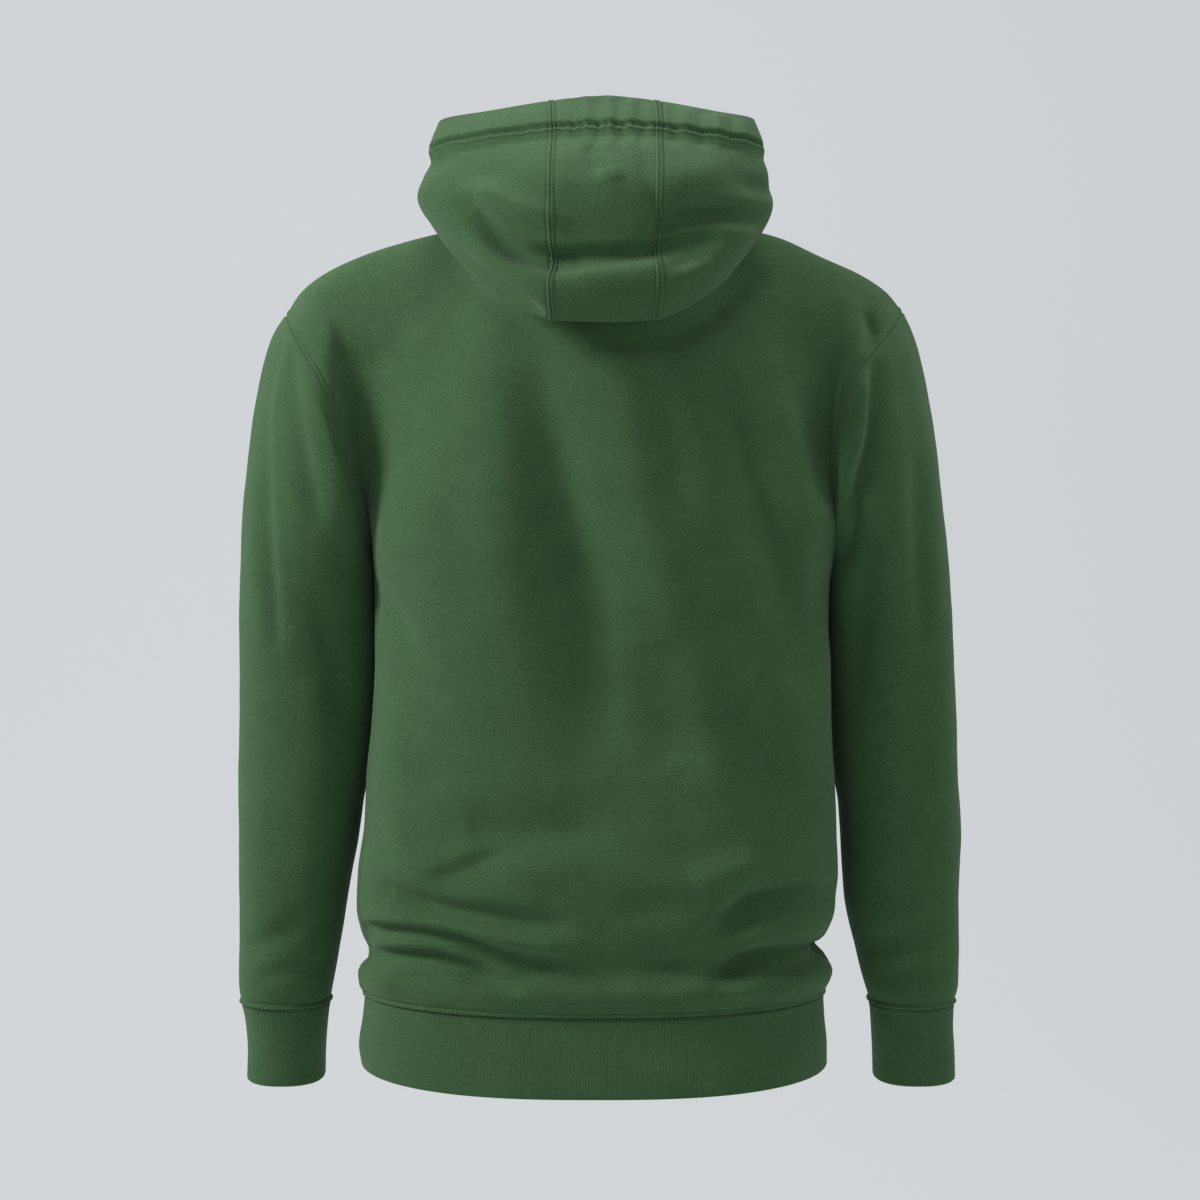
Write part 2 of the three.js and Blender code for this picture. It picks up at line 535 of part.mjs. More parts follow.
// How high the folds of a piece stand at a point whose outside faces a given way.
function foldHeight(piece, point, face) {
  let height = 0;
  for (const fold of FOLDS[piece.name] ?? []) {
    const runX = fold.toX - fold.fromX;
    const runZ = fold.toZ - fold.fromZ;
    const fromX = point.x - fold.fromX;
    const fromZ = point.z - fold.fromZ;
    const share = THREE.MathUtils.clamp((fromX * runX + fromZ * runZ) / (runX ** 2 + runZ ** 2), 0, 1);
    const away = Math.hypot(fromX - share * runX, fromZ - share * runZ);
    const seen = fold.side ? smoothStep(face.y * fold.side, 0, 0.5) : 1;
    height += fold.height * seen * Math.exp(-((away / fold.halfWidth) ** 2));
  }
  return height;
}

// Raises the folds of a piece, leaving its seams where they are.
function fold(piece) {
  const face = facing(piece);
  piece.grid = piece.grid.map((line, row) => line.map((point, column) => {
    if (isEdge(piece, row, column)) return point;
    return point.clone().addScaledVector(face[row][column], foldHeight(piece, point, face[row][column]));
  }));
}

const placeKey = (point) => {
  const { x, y, z } = point.sewnAt ?? point;
  return [x, y, z].map((value) => Math.round(value * 20)).join();
};

function isEdge(piece, row, column) {
  const lastRow = piece.grid.length - 1;
  const lastColumn = piece.grid[0].length - 1;
  return row === 0 || row === lastRow || (!piece.closed && (column === 0 || column === lastColumn));
}

// Where edges of different pieces share a point, all of them slope the same way through the cloth.
function shareSeams(pieces) {
  const seams = new Map();
  for (const piece of pieces) {
    piece.grid.forEach((line, row) => line.forEach((point, column) => {
      if (!isEdge(piece, row, column)) return;
      const key = placeKey(point);
      if (!seams.has(key)) seams.set(key, new Map());
      seams.get(key).set(piece.name, piece.facing[row][column]);
    }));
  }
  return seams;
}

// How a seam's points run through the cloth: inwards, and how much longer than the cloth is thick.
function mitre(seam) {
  const faces = [];
  for (const face of seam.values()) {
    if (seam.size < 3 || faces.every((other) => other.dot(face) < SAME_WAY)) faces.push(face);
  }
  const inward = faces.reduce((sum, face) => sum.sub(face), vec(0, 0, 0)).normalize();
  const share = faces.reduce((sum, face) => sum - face.dot(inward), 0) / faces.length;
  return { inward, stretch: Math.min(SHARPEST_MITRE, 1 / Math.max(share, 0.1)) };
}

// Moves an edge point half a seam's gap back into its own piece.
function seamShift(piece, row, column, inward, isSewn) {
  const point = piece.grid[row][column];
  const lastRow = piece.grid.length - 1;
  const lastColumn = piece.grid[0].length - 1;
  const edges = [];
  if (row === 0 || row === lastRow) edges.push({ run: [0, 1], back: [row === 0 ? 1 : -1, 0] });
  if (!piece.closed && (column === 0 || column === lastColumn)) {
    edges.push({ run: [1, 0], back: [0, column === 0 ? 1 : -1] });
  }
  const shift = vec(0, 0, 0);
  for (const { run, back } of edges) {
    const next = neighbour(piece, row + run[0], column + run[1]) ?? point;
    const last = neighbour(piece, row - run[0], column - run[1]) ?? point;
    if (!(isSewn(next) && isSewn(last))) continue;
    const inside = neighbour(piece, row + back[0], column + back[1]).clone().sub(point);
    const across = next.clone().sub(last).cross(inward).normalize();
    shift.addScaledVector(across, Math.sign(across.dot(inside)) * SEAM_GAP / 2);
  }
  return shift;
}

// Outer and inner points of a piece's wall.
function wallPoints(piece, seams) {
  const isSewn = (point) => seams.get(placeKey(point))?.size > 1;
  const outer = [];
  const inner = [];
  piece.grid.forEach((line, row) => line.forEach((point, column) => {
    const thick = piece.thickness ? piece.thickness(row, piece.grid.length) : FLEECE;
    let inward = piece.facing[row][column].clone().negate();
    let stretch = 1;
    let shift = vec(0, 0, 0);
    if (isEdge(piece, row, column) && isSewn(point)) {
      ({ inward, stretch } = mitre(seams.get(placeKey(point))));
      shift = seamShift(piece, row, column, inward, isSewn);
    }
    outer.push(point.clone().add(shift));
    inner.push(point.clone().add(shift).addScaledVector(inward, thick * stretch));
  }));
  return { outer, inner };
}

// One closed wall: outer face, inner face, and the edges between them.
function wallGeometry(piece, seams) {
  const { outer, inner } = wallPoints(piece, seams);
  const rows = piece.grid.length;
  const width = piece.grid[0].length;
  const spans = piece.closed ? width : width - 1;
  const at = (row, column) => row * width + (column % width);
  const count = outer.length;
  const points = [...outer, ...inner];
  const faces = [];
  const edges = [];
  for (let row = 0; row < rows - 1; row += 1) {
    for (let column = 0; column < spans; column += 1) {
      const [a, b, c, d] = [at(row, column), at(row, column + 1), at(row + 1, column + 1), at(row + 1, column)];
      faces.push([a, b, c, d], [d + count, c + count, b + count, a + count]);
    }
  }
  for (let column = 0; column < spans; column += 1) {
    const [a, b] = [at(0, column), at(0, column + 1)];
    const [c, d] = [at(rows - 1, column), at(rows - 1, column + 1)];
    edges.push([a + count, b + count, b, a], [c, d, d + count, c + count]);
  }
  if (!piece.closed) {
    for (let row = 0; row < rows - 1; row += 1) {
      const [a, b] = [at(row, 0), at(row + 1, 0)];
      const [c, d] = [at(row, width - 1), at(row + 1, width - 1)];
      edges.push([a, b, b + count, a + count], [c + count, d + count, d, c]);
    }
  }
  // Both sides of a seam split their edges along the shorter diagonal, so that they lie flat against each other.
  const split = ([a, b, c, d]) => [a, b, c, a, c, d];
  const splitShorter = ([a, b, c, d]) => (
    points[a].distanceTo(points[c]) <= points[b].distanceTo(points[d]) ? split([a, b, c, d]) : split([b, c, d, a])
  );
  const triangles = [...faces.flatMap(split), ...edges.flatMap(splitShorter)];
  if (piece.turned) triangles.reverse();
  const geometry = new THREE.BufferGeometry();
  geometry.setAttribute(
    "position",
    new THREE.Float32BufferAttribute(points.flatMap((point) => point.toArray()), 3),
  );
  geometry.setIndex(triangles);
  geometry.computeVertexNormals();
  return geometry;
}

PIECES.forEach(fold);
for (const piece of PIECES) piece.facing = facing(piece);
const seams = shareSeams(PIECES);
const hoodie = new THREE.Group();
for (const piece of PIECES) {
  const material = new THREE.MeshStandardMaterial({ color: piece.colour ?? 0x3f5f3e, roughness: 0.95, metalness: 0 });
  const mesh = new THREE.Mesh(wallGeometry(piece, seams), material);
  mesh.name = piece.name;
  hoodie.add(mesh);
}

export default hoodie;
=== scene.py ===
import math
import bpy
import numpy as np
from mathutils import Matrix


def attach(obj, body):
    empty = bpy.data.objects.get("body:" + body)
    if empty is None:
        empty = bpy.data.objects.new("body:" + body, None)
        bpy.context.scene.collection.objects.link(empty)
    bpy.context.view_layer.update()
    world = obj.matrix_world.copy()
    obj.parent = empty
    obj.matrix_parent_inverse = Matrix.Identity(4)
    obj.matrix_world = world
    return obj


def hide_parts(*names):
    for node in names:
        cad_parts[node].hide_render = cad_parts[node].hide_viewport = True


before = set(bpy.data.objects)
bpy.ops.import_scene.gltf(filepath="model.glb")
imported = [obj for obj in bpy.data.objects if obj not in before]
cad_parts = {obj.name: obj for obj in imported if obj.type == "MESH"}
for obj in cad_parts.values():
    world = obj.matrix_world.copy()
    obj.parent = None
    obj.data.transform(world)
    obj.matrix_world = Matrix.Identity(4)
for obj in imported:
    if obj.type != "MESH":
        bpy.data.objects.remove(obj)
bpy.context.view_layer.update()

# A pullover hoodie in green fleece, filled out as worn, with the hood lying on its back.
# Lengths are millimetres until a mesh is made. +X is the wearer's left, +Y the back, +Z up.

millimetre = 0.001


# Curves and tables

def hermite(t):
    # the four weights of a cubic: start, leaving direction, end, arriving direction
    return 2 * t**3 - 3 * t**2 + 1, t**3 - 2 * t**2 + t, -2 * t**3 + 3 * t**2, t**3 - t**2


def smoothTable(inputs, outputs):
    # a smooth curve through a table's column that never overshoots its rows
    order = np.argsort(inputs)
    at = np.array(inputs, float)[order]
    value = np.array(outputs, float)[order]
    rise = np.diff(value) / np.diff(at)
    slope = np.empty_like(at)
    slope[0], slope[-1] = rise[0], rise[-1]
    for k in range(1, len(at) - 1):
        before, after = rise[k - 1], rise[k]
        slope[k] = 0 if before * after <= 0 else 2 * before * after / (before + after)

    def curve(x):
        x = np.clip(np.asarray(x, float), at[0], at[-1])
        k = np.clip(np.searchsorted(at, x, side="right") - 1, 0, len(at) - 2)
        width = at[k + 1] - at[k]
        h00, h10, h01, h11 = hermite((x - at[k]) / width)
        return h00 * value[k] + h10 * width * slope[k] + h01 * value[k + 1] + h11 * width * slope[k + 1]
    return curve


def smoothRamp(x, low, high):
    t = np.clip((x - low) / (high - low), 0, 1)
    return t * t * (3 - 2 * t)


def awayFromEnds(share, low, high):
    # 0 at both ends of a width and 1 in its middle
    return smoothRamp(share, low, high) * smoothRamp(1 - share, low, high)


def hump(distance, reach):
    return np.exp(-((distance / reach) ** 2))


def runningLength(points):
    # the length along a line up to each of its points
    return np.concatenate([[0], np.cumsum(np.linalg.norm(np.diff(points, axis=0), axis=1))])


def along(points, share):
    # points (rows, ..., 3) followed smoothly; share is a number or an array for the first axis
    points = np.asarray(points, float)
    place = np.clip(np.atleast_1d(share), 0, 1) * (len(points) - 1)
    k = np.minimum(place.astype(int), len(points) - 2)
    t = place - k
    before = points[np.maximum(k - 1, 0)]
    after = points[np.minimum(k + 2, len(points) - 1)]
    start, end = points[k], points[k + 1]
    shape = (-1,) + (1,) * (points.ndim - 1)
    h00, h10, h01, h11 = (w.reshape(shape) for w in hermite(t))
    return h00 * start + h10 * (end - before) / 2 + h01 * end + h11 * (after - start) / 2


def stack(x, y, z):
    return np.stack(np.broadcast_arrays(x, y, z), axis=-1).astype(float)


def powered(value, power):
    return np.sign(value) * np.abs(value) ** power


# Torso

torso = {
    "squareness": 2.6,  # 2 is an ellipse
    "widerBehind": 0.07,
    "chestZ": -255,
    "shoulderShare": 8 / 32,  # of a panel's width, in each shoulder seam
    "sideDensity": 0.3,
    "armholeReach": 0.2,
    "sideLift": 8,
    "sideLiftFrom": -570,
    "panelWidth": 500,  # lengths along the cloth, for the spacing of the grid
    "sideLength": 372,
    "yokeLength": 260,
}

# level, half-widths to the left and right, depths to the back and front, and the turn of the left side seam
torsoRows = [
    (-627, 190, 187, 109, 106, 18),
    (-618, 195, 191, 114, 111, 18),
    (-607, 196, 194, 117, 114, 18),
    (-596, 188, 190, 115, 113, 18),
    (-584, 187, 182, 114, 112, 18),
    (-568, 193, 190, 118, 115, 18),
    (-548, 197, 197, 122, 118, 18),
    (-522, 196, 199, 123, 119, 18),
    (-485, 191, 198, 121, 118, 18),
    (-440, 188, 196, 119, 117, 18),
    (-395, 184, 194, 118, 117, 17),
    (-345, 181, 193, 119, 118, 14),
    (-300, 181, 192, 121, 118, 8),
    (-255, 184, 192, 122, 117, 0),
]
torsoNames = ("left", "right", "back", "front", "seamTurn")
torsoCurve = {
    name: smoothTable([row[0] for row in torsoRows], [row[k + 1] for row in torsoRows])
    for k, name in enumerate(torsoNames)
}
hemSeamZ = torsoRows[0][0]

# shoulder seams from tip to neck: left x and z, right x and z
shoulderRows = [
    (257, -63, 254, -60),
    (244, -43, 240, -43),
    (222, -26.5, 218, -28.5),
    (190, -12, 187, -14.5),
    (155, -1, 152, 1.5),
    (120, 7.5, 118, 9.5),
    (88, 15, 88, 15),
]

# armholes between armpit and shoulder tip: left x, right x, depth back, depth front, z
armholeRows = [
    (185, 192, 27, 25, -246),
    (189, 193, 51, 47, -222),
    (197, 194.5, 66, 60, -190),
    (208, 198, 70, 64, -155),
    (222, 208, 64, 58, -122),
    (238, 226, 48, 44, -97),
    (250, 243, 26, 24, -77),
]

neck = {
    "halfWidth": 88,
    "back": 70,
    "front": 82,
    "sideZ": 15,
    "backDrop": 7,
    "frontDrop": 89,
    "frontRound": 1.6,
    "centrePanelAngle": 62,
    "centrePanelShare": 3 / 16,  # of the half neckline
}


def ringPoint(left, right, back, front, angle, z):
    # angle 0 is the wearer's left and 90 degrees the back
    wider = 1 + torso["widerBehind"] * (np.sin(angle) - 0.1)
    across = powered(np.cos(angle), 2 / torso["squareness"]) * wider
    deep = powered(np.sin(angle), 2 / torso["squareness"])
    x = across * np.where(across > 0, left, right)
    y = deep * np.where(deep > 0, back, front)
    return stack(x, y, z)


def makeEvenAngle():
    chest = dict(zip(torsoNames, torsoRows[-1][1:]))
    angles = np.linspace(0, math.pi, 361)
    ring = ringPoint(chest["left"], chest["right"], chest["back"], chest["front"], angles, 0)
    lengths = runningLength(ring)
    return lambda share: np.interp(share * lengths[-1], lengths, angles)


evenAngle = makeEvenAngle()


def columnAngle(side, share, turn):
    denser = share - torso["sideDensity"] * np.sin(2 * math.pi * share) / (2 * math.pi)
    even = evenAngle(denser)
    seam = np.radians(turn)
    if side == "back":
        return seam + even * (math.pi - seam) / math.pi
    return math.pi + even * (math.pi + seam) / math.pi


def sideLift(angle, z):
    lowering = smoothRamp(-np.asarray(z, float), -torso["sideLiftFrom"], -hemSeamZ)
    return torso["sideLift"] * np.cos(angle) ** 2 * lowering


def torsoPoint(side, share, z):
    level = {name: curve(z) for name, curve in torsoCurve.items()}
    angle = columnAngle(side, share, level["seamTurn"])
    lifted = z + sideLift(angle, z)
    return ringPoint(level["left"], level["right"], level["back"], level["front"], angle, lifted)


def neckPoint(angle):
    across, deep = np.cos(angle), np.sin(angle)
    front = neck["frontDrop"] * np.abs(deep) ** neck["frontRound"]
    low = np.where(deep > 0, neck["backDrop"] * deep**2, front)
    y = deep * np.where(deep > 0, neck["back"], neck["front"])
    return stack(neck["halfWidth"] * across, y, neck["sideZ"] - low)


def neckAngle(turn):
    # turn is 0 at the nape, 0.5 over the shoulder and 1 at the throat
    centre, spread = neck["centrePanelShare"], neck["centrePanelAngle"]
    napeSide = 90 - (90 - spread) * turn / centre
    shoulderSide = spread * (0.5 - turn) / (0.5 - centre)
    frontSide = -180 * (turn - 0.5)
    return np.radians(np.where(turn < centre, napeSide, np.where(turn < 0.5, shoulderSide, frontSide)))


shoulderLine = {
    "left": np.array([(row[0], 0, row[1]) for row in shoulderRows], float),
    "right": np.array([(-row[2], 0, row[3]) for row in shoulderRows], float),
}


def sidesOf(side):
    return ("left", "right") if side == "back" else ("right", "left")


def topPoint(side, share):
    first, last = sidesOf(side)
    share = np.atleast_1d(share)
    edge = torso["shoulderShare"]
    top = np.empty(share.shape + (3,))
    low, high = share <= edge, share >= 1 - edge
    middle = ~(low | high)
    top[low] = along(shoulderLine[first], share[low] / edge)
    top[high] = along(shoulderLine[last], (1 - share[high]) / edge)
    across = (share[middle] - edge) / (1 - 2 * edge)
    fromMiddle = np.abs(across - 0.5)
    points = neckPoint(neckAngle(fromMiddle if side == "back" else 1 - fromMiddle))
    hand = np.where(across < 0.5, 1, -1) * (1 if first == "left" else -1)
    points[:, 0] *= hand
    top[middle] = points
    return top


def armholeLine(side, hand):
    share = 0.0 if (side == "back") == (hand == "left") else 1.0
    armpit = torsoPoint(side, share, torso["chestZ"])
    points = [armpit]
    for leftX, rightX, back, front, z in armholeRows:
        points.append((leftX if hand == "left" else -rightX, back if side == "back" else -front, z))
    points.append(shoulderLine[hand][0])
    return np.array(points, float)


def cubic(start, leave, end, arrive, t):
    h00, h10, h01, h11 = hermite(np.asarray(t, float)[..., None])
    return h00 * start + h10 * leave + h01 * end + h11 * arrive


yoke = {
    "leave": 1.05,  # how strongly the cloth keeps upright as it leaves the chest
    "arrive": 1.25,  # how strongly it comes level over the shoulder
    "overRise": 12,
    "toNape": (0, -75, 72),  # how it arrives at the neckline
    "toThroat": (0, 38, 120),
    "inNeck": (0.2, 0.36),  # between these shares of the width the shoulder gives way to the neckline
    "softening": 90,
    "softenInside": (0.06, 0.16),
}


def softenAcross(grid, times):
    softened = grid.copy()
    for _ in range(times):
        softened[:, 1:-1] = (softened[:, :-2] + 2 * softened[:, 1:-1] + softened[:, 2:]) / 4
    return softened


def yokeGrid(side, share, climb):
    # above the armpits: rows of climb by columns of share
    facing = 1 if side == "back" else -1
    climb = climb[:, None]

    def lift(start, end):
        leave = np.zeros_like(start)
        leave[..., 2] = (end[..., 2] - start[..., 2]) * yoke["leave"]
        over = np.zeros_like(start)
        over[..., 1] = -facing * np.abs(end[..., 1] - start[..., 1])
        over[..., 2] = yoke["overRise"]
        return leave, over * yoke["arrive"]

    start = torsoPoint(side, share, np.full(share.shape, float(torso["chestZ"])))
    end = topPoint(side, share)
    leave, over = lift(start, end)
    inNeck = awayFromEnds(share, *yoke["inNeck"])[:, None]
    toNeck = np.array(yoke["toNape"] if side == "back" else yoke["toThroat"], float)
    points = cubic(start, leave, end, over * (1 - inNeck) + toNeck * inNeck, climb)
    first, last = sidesOf(side)
    for hand, edge, at in ((first, share, 0.0), (last, 1 - share, 1.0)):
        reach = np.maximum(0, 1 - edge / torso["armholeReach"]) ** 2
        edgeStart = torsoPoint(side, at, torso["chestZ"])[None]
        edgeEnd = topPoint(side, at)
        edgeLeave, edgeOver = lift(edgeStart, edgeEnd)
        plain = cubic(edgeStart, edgeLeave, edgeEnd, edgeOver, climb)
        wanted = along(armholeLine(side, hand), climb[:, 0])[:, None]
        points = points + (wanted - plain) * reach[None, :, None]
    # the corner of neckline and shoulder seam is softened below the seam
    softened = softenAcross(points, yoke["softening"])
    low = smoothRamp(1 - climb, 0.0, 0.3) * smoothRamp(climb, 0, 0.25)
    inside = awayFromEnds(share, *yoke["softenInside"])
    return points + (softened - points) * (low * inside[None])[..., None]


# Grid spacing: close together beside a seam, even elsewhere

seamSteps = [0, 0.7, 1.4, 2.1, 2.8, 3.6, 4.4, 5.2, 6.1, 7.1, 8.4, 10.2]


def spaced(length, step, denseStart=True, denseEnd=True):
    # shares of a length in millimetres
    start = [d / length for d in seamSteps] if denseStart else [0]
    end = [1 - d / length for d in reversed(seamSteps)] if denseEnd else [1]
    middle = max(2, round((end[0] - start[-1]) * length / step))
    between = np.linspace(start[-1], end[0], middle + 1)[1:-1]
    return np.concatenate([start, between, end])


def panelGrid(side, step):
    share = spaced(torso["panelWidth"], step)
    up = spaced(torso["sideLength"], step * 1.1, denseEnd=False)
    z = hemSeamZ + (torso["chestZ"] - hemSeamZ) * up
    lower = np.array([torsoPoint(side, share, np.full(share.shape, level)) for level in z])
    climb = spaced(torso["yokeLength"], step * 1.2, denseStart=False)[1:]
    return np.concatenate([lower, yokeGrid(side, share, climb)])


# Sleeves and cuffs

# level, edges towards the body and away from it on the left, the same on the right, half-depth and how far
# the arm hangs forward
sleeveRows = [
    (-330, 183, 297, 195.5, 297, 58, 14),
    (-373, 185.5, 297.5, 197, 299, 56, 17),
    (-436, 191.5, 299, 201, 301.5, 54, 19),
    (-498, 199, 298.5, 205, 305, 50, 21),
    (-548, 208, 298, 208.5, 304, 46, 23),
    (-590, 215.5, 299, 218, 305, 42, 26),
    (-620, 221, 300, 225, 304, 39.5, 29),
    (-636, 224, 298, 230, 301, 36, 31),
]
cuffRows = [
    (-653, 226, 295, 231.5, 300.5, 34, 33),
    (-676, 228, 293.5, 233, 302, 33, 35.5),
    (-699, 229, 294.5, 234, 303, 33, 38),
]
armRows = sleeveRows + cuffRows
armNames = ("leftIn", "leftOut", "rightIn", "rightOut", "depth", "forward")
armCurve = {
    name: smoothTable([row[0] for row in armRows], [row[k + 1] for row in armRows])
    for k, name in enumerate(armNames)
}

sleeve = {
    "squareness": 2.3,
    "cuffSeamZ": -636,
    "cuffEndZ": -699,
    "headSpread": {"left": 0.6, "right": 0.4},  # how far the sleeve head stands out below the shoulder tip
    "plainSpread": 0.45,
    "leave": 0.62,  # how strongly the cloth leaves the armhole and arrives in the tube
    "leaveBack": 0.42,
    "leaveDown": 0.8,
    "leaveDownOutside": 0.2,  # less steep by this on the outside, and steeper by it on the inside
    "arrive": 0.9,
    "tiltFrom": -600,
    "topTilt": 0.06,  # how much lower the back of the cuff's seam lies, per millimetre of depth
    "bottomTilt": 0.12,
    "girth": 345,  # lengths along the cloth, for the spacing of the grid
    "headLength": 190,
    "tubeLength": 306,
    "cuffGirth": 230,
    "cuffLength": 63,
}


def mirrored(points, hand):
    return points if hand == "left" else points * np.array((-1, 1, 1))


def sleeveRing(hand, share, z, tilt=0):
    inner, outer = armCurve[hand + "In"](z), armCurve[hand + "Out"](z)
    angle = share * 2 * math.pi
    deep = armCurve["depth"](z) * powered(np.sin(angle), 2 / sleeve["squareness"])
    x = (outer + inner) / 2 + (outer - inner) / 2 * powered(np.cos(angle), 2 / sleeve["squareness"])
    return mirrored(stack(x, deep - armCurve["forward"](z), z - deep * tilt), hand)


def armholeRing(hand, share):
    # from the shoulder tip by the back to the armpit and up the front
    back = along(armholeLine("back", hand), 1 - 2 * np.minimum(share, 0.5))
    front = along(armholeLine("front", hand), 2 * np.maximum(share, 0.5) - 1)
    return np.where((share <= 0.5)[:, None], back, front)


def sleeveGrid(hand, step):
    columns = round(sleeve["girth"] / step)
    share = np.arange(columns) / columns
    start = armholeRing(hand, share)
    end = sleeveRing(hand, share, np.full(share.shape, float(sleeveRows[0][0])))
    outward, backward = np.cos(share * 2 * math.pi), np.sin(share * 2 * math.pi)
    chord = np.linalg.norm(end - start, axis=1)[:, None]
    more = sleeve["headSpread"][hand] - sleeve["plainSpread"]
    spread = sleeve["plainSpread"] + more * 0.5 * (outward + outward**2)
    falling = -sleeve["leaveDown"] + sleeve["leaveDownOutside"] * outward
    leave = mirrored(stack(spread, sleeve["leaveBack"] * backward, falling), hand) * chord * sleeve["leave"]
    arrive = np.zeros_like(leave)
    arrive[:, 2] = -sleeve["arrive"] * chord[:, 0]
    down = spaced(sleeve["headLength"], step * 1.25, denseEnd=False)
    head = cubic(start[None], leave[None], end[None], arrive[None], down[:, None])
    top, bottom = sleeveRows[0][0], sleeve["cuffSeamZ"]
    z = top + (bottom - top) * spaced(sleeve["tubeLength"], step * 1.25, denseStart=False)[1:]
    tilt = sleeve["topTilt"] * smoothRamp(-z, -sleeve["tiltFrom"], -bottom)
    tube = np.array([sleeveRing(hand, share, np.full(share.shape, level), t) for level, t in zip(z, tilt)])
    return np.concatenate([head, tube])


def cuffGrid(hand, step):
    columns = round(sleeve["cuffGirth"] / step)
    share = np.arange(columns) / columns
    down = spaced(sleeve["cuffLength"], step * 1.3, denseEnd=False)
    top, bottom = sleeve["cuffSeamZ"], sleeve["cuffEndZ"]
    tilt = sleeve["topTilt"] + (sleeve["bottomTilt"] - sleeve["topTilt"]) * down
    z = top + (bottom - top) * down
    return np.array([sleeveRing(hand, share, np.full(share.shape, level), t) for level, t in zip(z, tilt)])


# Hem band

hem = {
    "backDrop": 6,
    # drop below the seam, half-widths to the left and right, depths to the back and front
    "rows": [
        (0, 190, 187, 109, 106),
        (20, 192, 188, 111, 107),
        (42, 195, 190, 114, 109),
        (56, 193, 190, 115, 111),
    ],
}


def hemGrid(step):
    count = round(torso["panelWidth"] / step)
    half = np.arange(count) / count
    turn = float(torsoRows[0][5])
    angle = np.concatenate([columnAngle("back", half, turn), columnAngle("front", half, turn)])
    drops = [row[0] for row in hem["rows"]]
    curves = [smoothTable(drops, [row[k] for row in hem["rows"]]) for k in (1, 2, 3, 4)]
    height = hem["rows"][-1][0]
    rings = []
    for share in spaced(height, step * 1.2, denseEnd=False):
        left, right, back, front = (curve(share * height) for curve in curves)
        lower = share * height + hem["backDrop"] * share * np.maximum(0, np.sin(angle))
        z = hemSeamZ + sideLift(angle, float(hemSeamZ)) - lower
        rings.append(ringPoint(left, right, back, front, angle, z))
    return np.array(rings)


# Hood

hood = {
    "sideWidth": 300,  # lengths along the cloth, for the spacing of the grid
    "centreHalfWidth": 45,
    "throatGap": 0.004,  # how far short of the throat's middle each side ends
    "softening": 60,
    "softenInside": (0.08, 0.35),
}

# one half: how far round a section stands, from 0 at the nape to 1 at the throat, and its x, y and z at each
# level along the cloth: the rise from the neckline, over the top, lap, bottom, roll, crease, face, the foot
# of the turned edge, and the rim
hoodRows = [
    (0, (0, 74, 22), (0, 92, 14), (0, 120, -56), (0, 144, -86), (0, 166, -62), (0, 156, -30),
     (0, 151, 24), (0, 110, 76), (0, 80, 102)),
    (0.1875, (43, 66, 23), (43, 84, 16), (41, 112, -53), (40, 136, -83), (42, 160, -60), (41, 151, -29),
     (42, 147, 24), (42, 106, 74), (42, 76, 98)),
    (0.34, (78, 40, 26), (88, 54, 24), (93, 80, -16), (90, 108, -53), (98, 132, -32), (99, 130, 0),
     (98, 118, 34), (94, 96, 69), (90, 70, 91)),
    (0.5, (92, 2, 27), (104, 14, 31), (122, 34, 20), (134, 50, 7), (142, 60, 22), (139, 64, 42),
     (136, 64, 54), (134, 60, 64), (127, 50, 86)),
    (0.64, (84, -38, 4), (95, -40, 14), (110, -36, 19), (121, -31, 23), (128, -26, 28), (130, -22, 33),
     (130, -18, 39), (127, -15, 47), (118, -14, 66)),
    (0.82, (50, -74, -43), (56, -82, -37), (63, -89, -33), (69, -94, -29), (73, -98, -25), (76, -99, -21),
     (78, -98, -16), (79, -95, -9), (74, -82, 9)),
    (1, (2.2, -83.4, -71.4), (3, -85.4, -68.8), (3.8, -87.4, -66.2), (4.6, -89.4, -63.6),
     (5.4, -91.2, -61.2), (6, -92.8, -59.2), (6.6, -94.3, -57.3), (7.4, -96, -55), (13, -108, -37)),
]
hoodLean = [0, -1, -2, -5, -8, -9, -9, -9, -10, -8]  # how far each level is moved in x at the nape
hoodFineRows = [6, 6, 20, 14, 16, 16, 24, 34, 26]  # grid rows between one level and the next


def hoodLevelList():
    levels = [0.0]
    for k, count in enumerate(hoodFineRows):
        levels += [k + step / count for step in range(1, count + 1)]
    return np.array(levels)


def hoodGrid(hand, turn):
    # rows of levels by columns of turn
    section = [neckPoint(neckAngle(turn))]
    turns = [row[0] for row in hoodRows]
    for level in range(1, len(hoodRows[0])):
        axes = [smoothTable(turns, [row[level][axis] for row in hoodRows])(turn) for axis in range(3)]
        section.append(stack(*axes))
    levels = hoodLevelList()
    points = mirrored(along(np.array(section), levels / (len(section) - 1)), hand)
    lean = np.interp(levels, np.arange(len(hoodLean)), hoodLean)
    points[..., 0] += lean[:, None] * np.sqrt(np.maximum(0, 1 - 2 * turn))[None]
    return points


def hoodSideGrid(hand, columns):
    # columns run from the throat to the centre panel on the left, and the other way on the right
    share = spaced(hood["sideWidth"], hood["sideWidth"] / columns, denseStart=False)
    turn = 1 + (neck["centrePanelShare"] - 1) * share
    turn[0] = 1 - hood["throatGap"]
    grid = hoodGrid(hand, turn)
    return grid if hand == "left" else grid[:, ::-1]


def hoodCentreGrid(columns):
    width = hood["centreHalfWidth"]
    half = neck["centrePanelShare"] * (1 - spaced(width, 2 * width / columns, denseEnd=False))
    left, right = hoodGrid("left", half), hoodGrid("right", half[::-1])
    grid = np.concatenate([left, right[:, 1:]], axis=1)
    softened = softenAcross(grid, hood["softening"])
    place = np.linspace(0, 1, grid.shape[1])
    inside = awayFromEnds(place, *hood["softenInside"])
    return grid + (softened - grid) * inside[None, :, None]


# Folds: the side that a fold shows on (1 the back, -1 the front, 0 both), how far it spreads to the left
# and to the right as one goes along its path, seen from behind, its height (a trough is negative), and its
# path of x and z

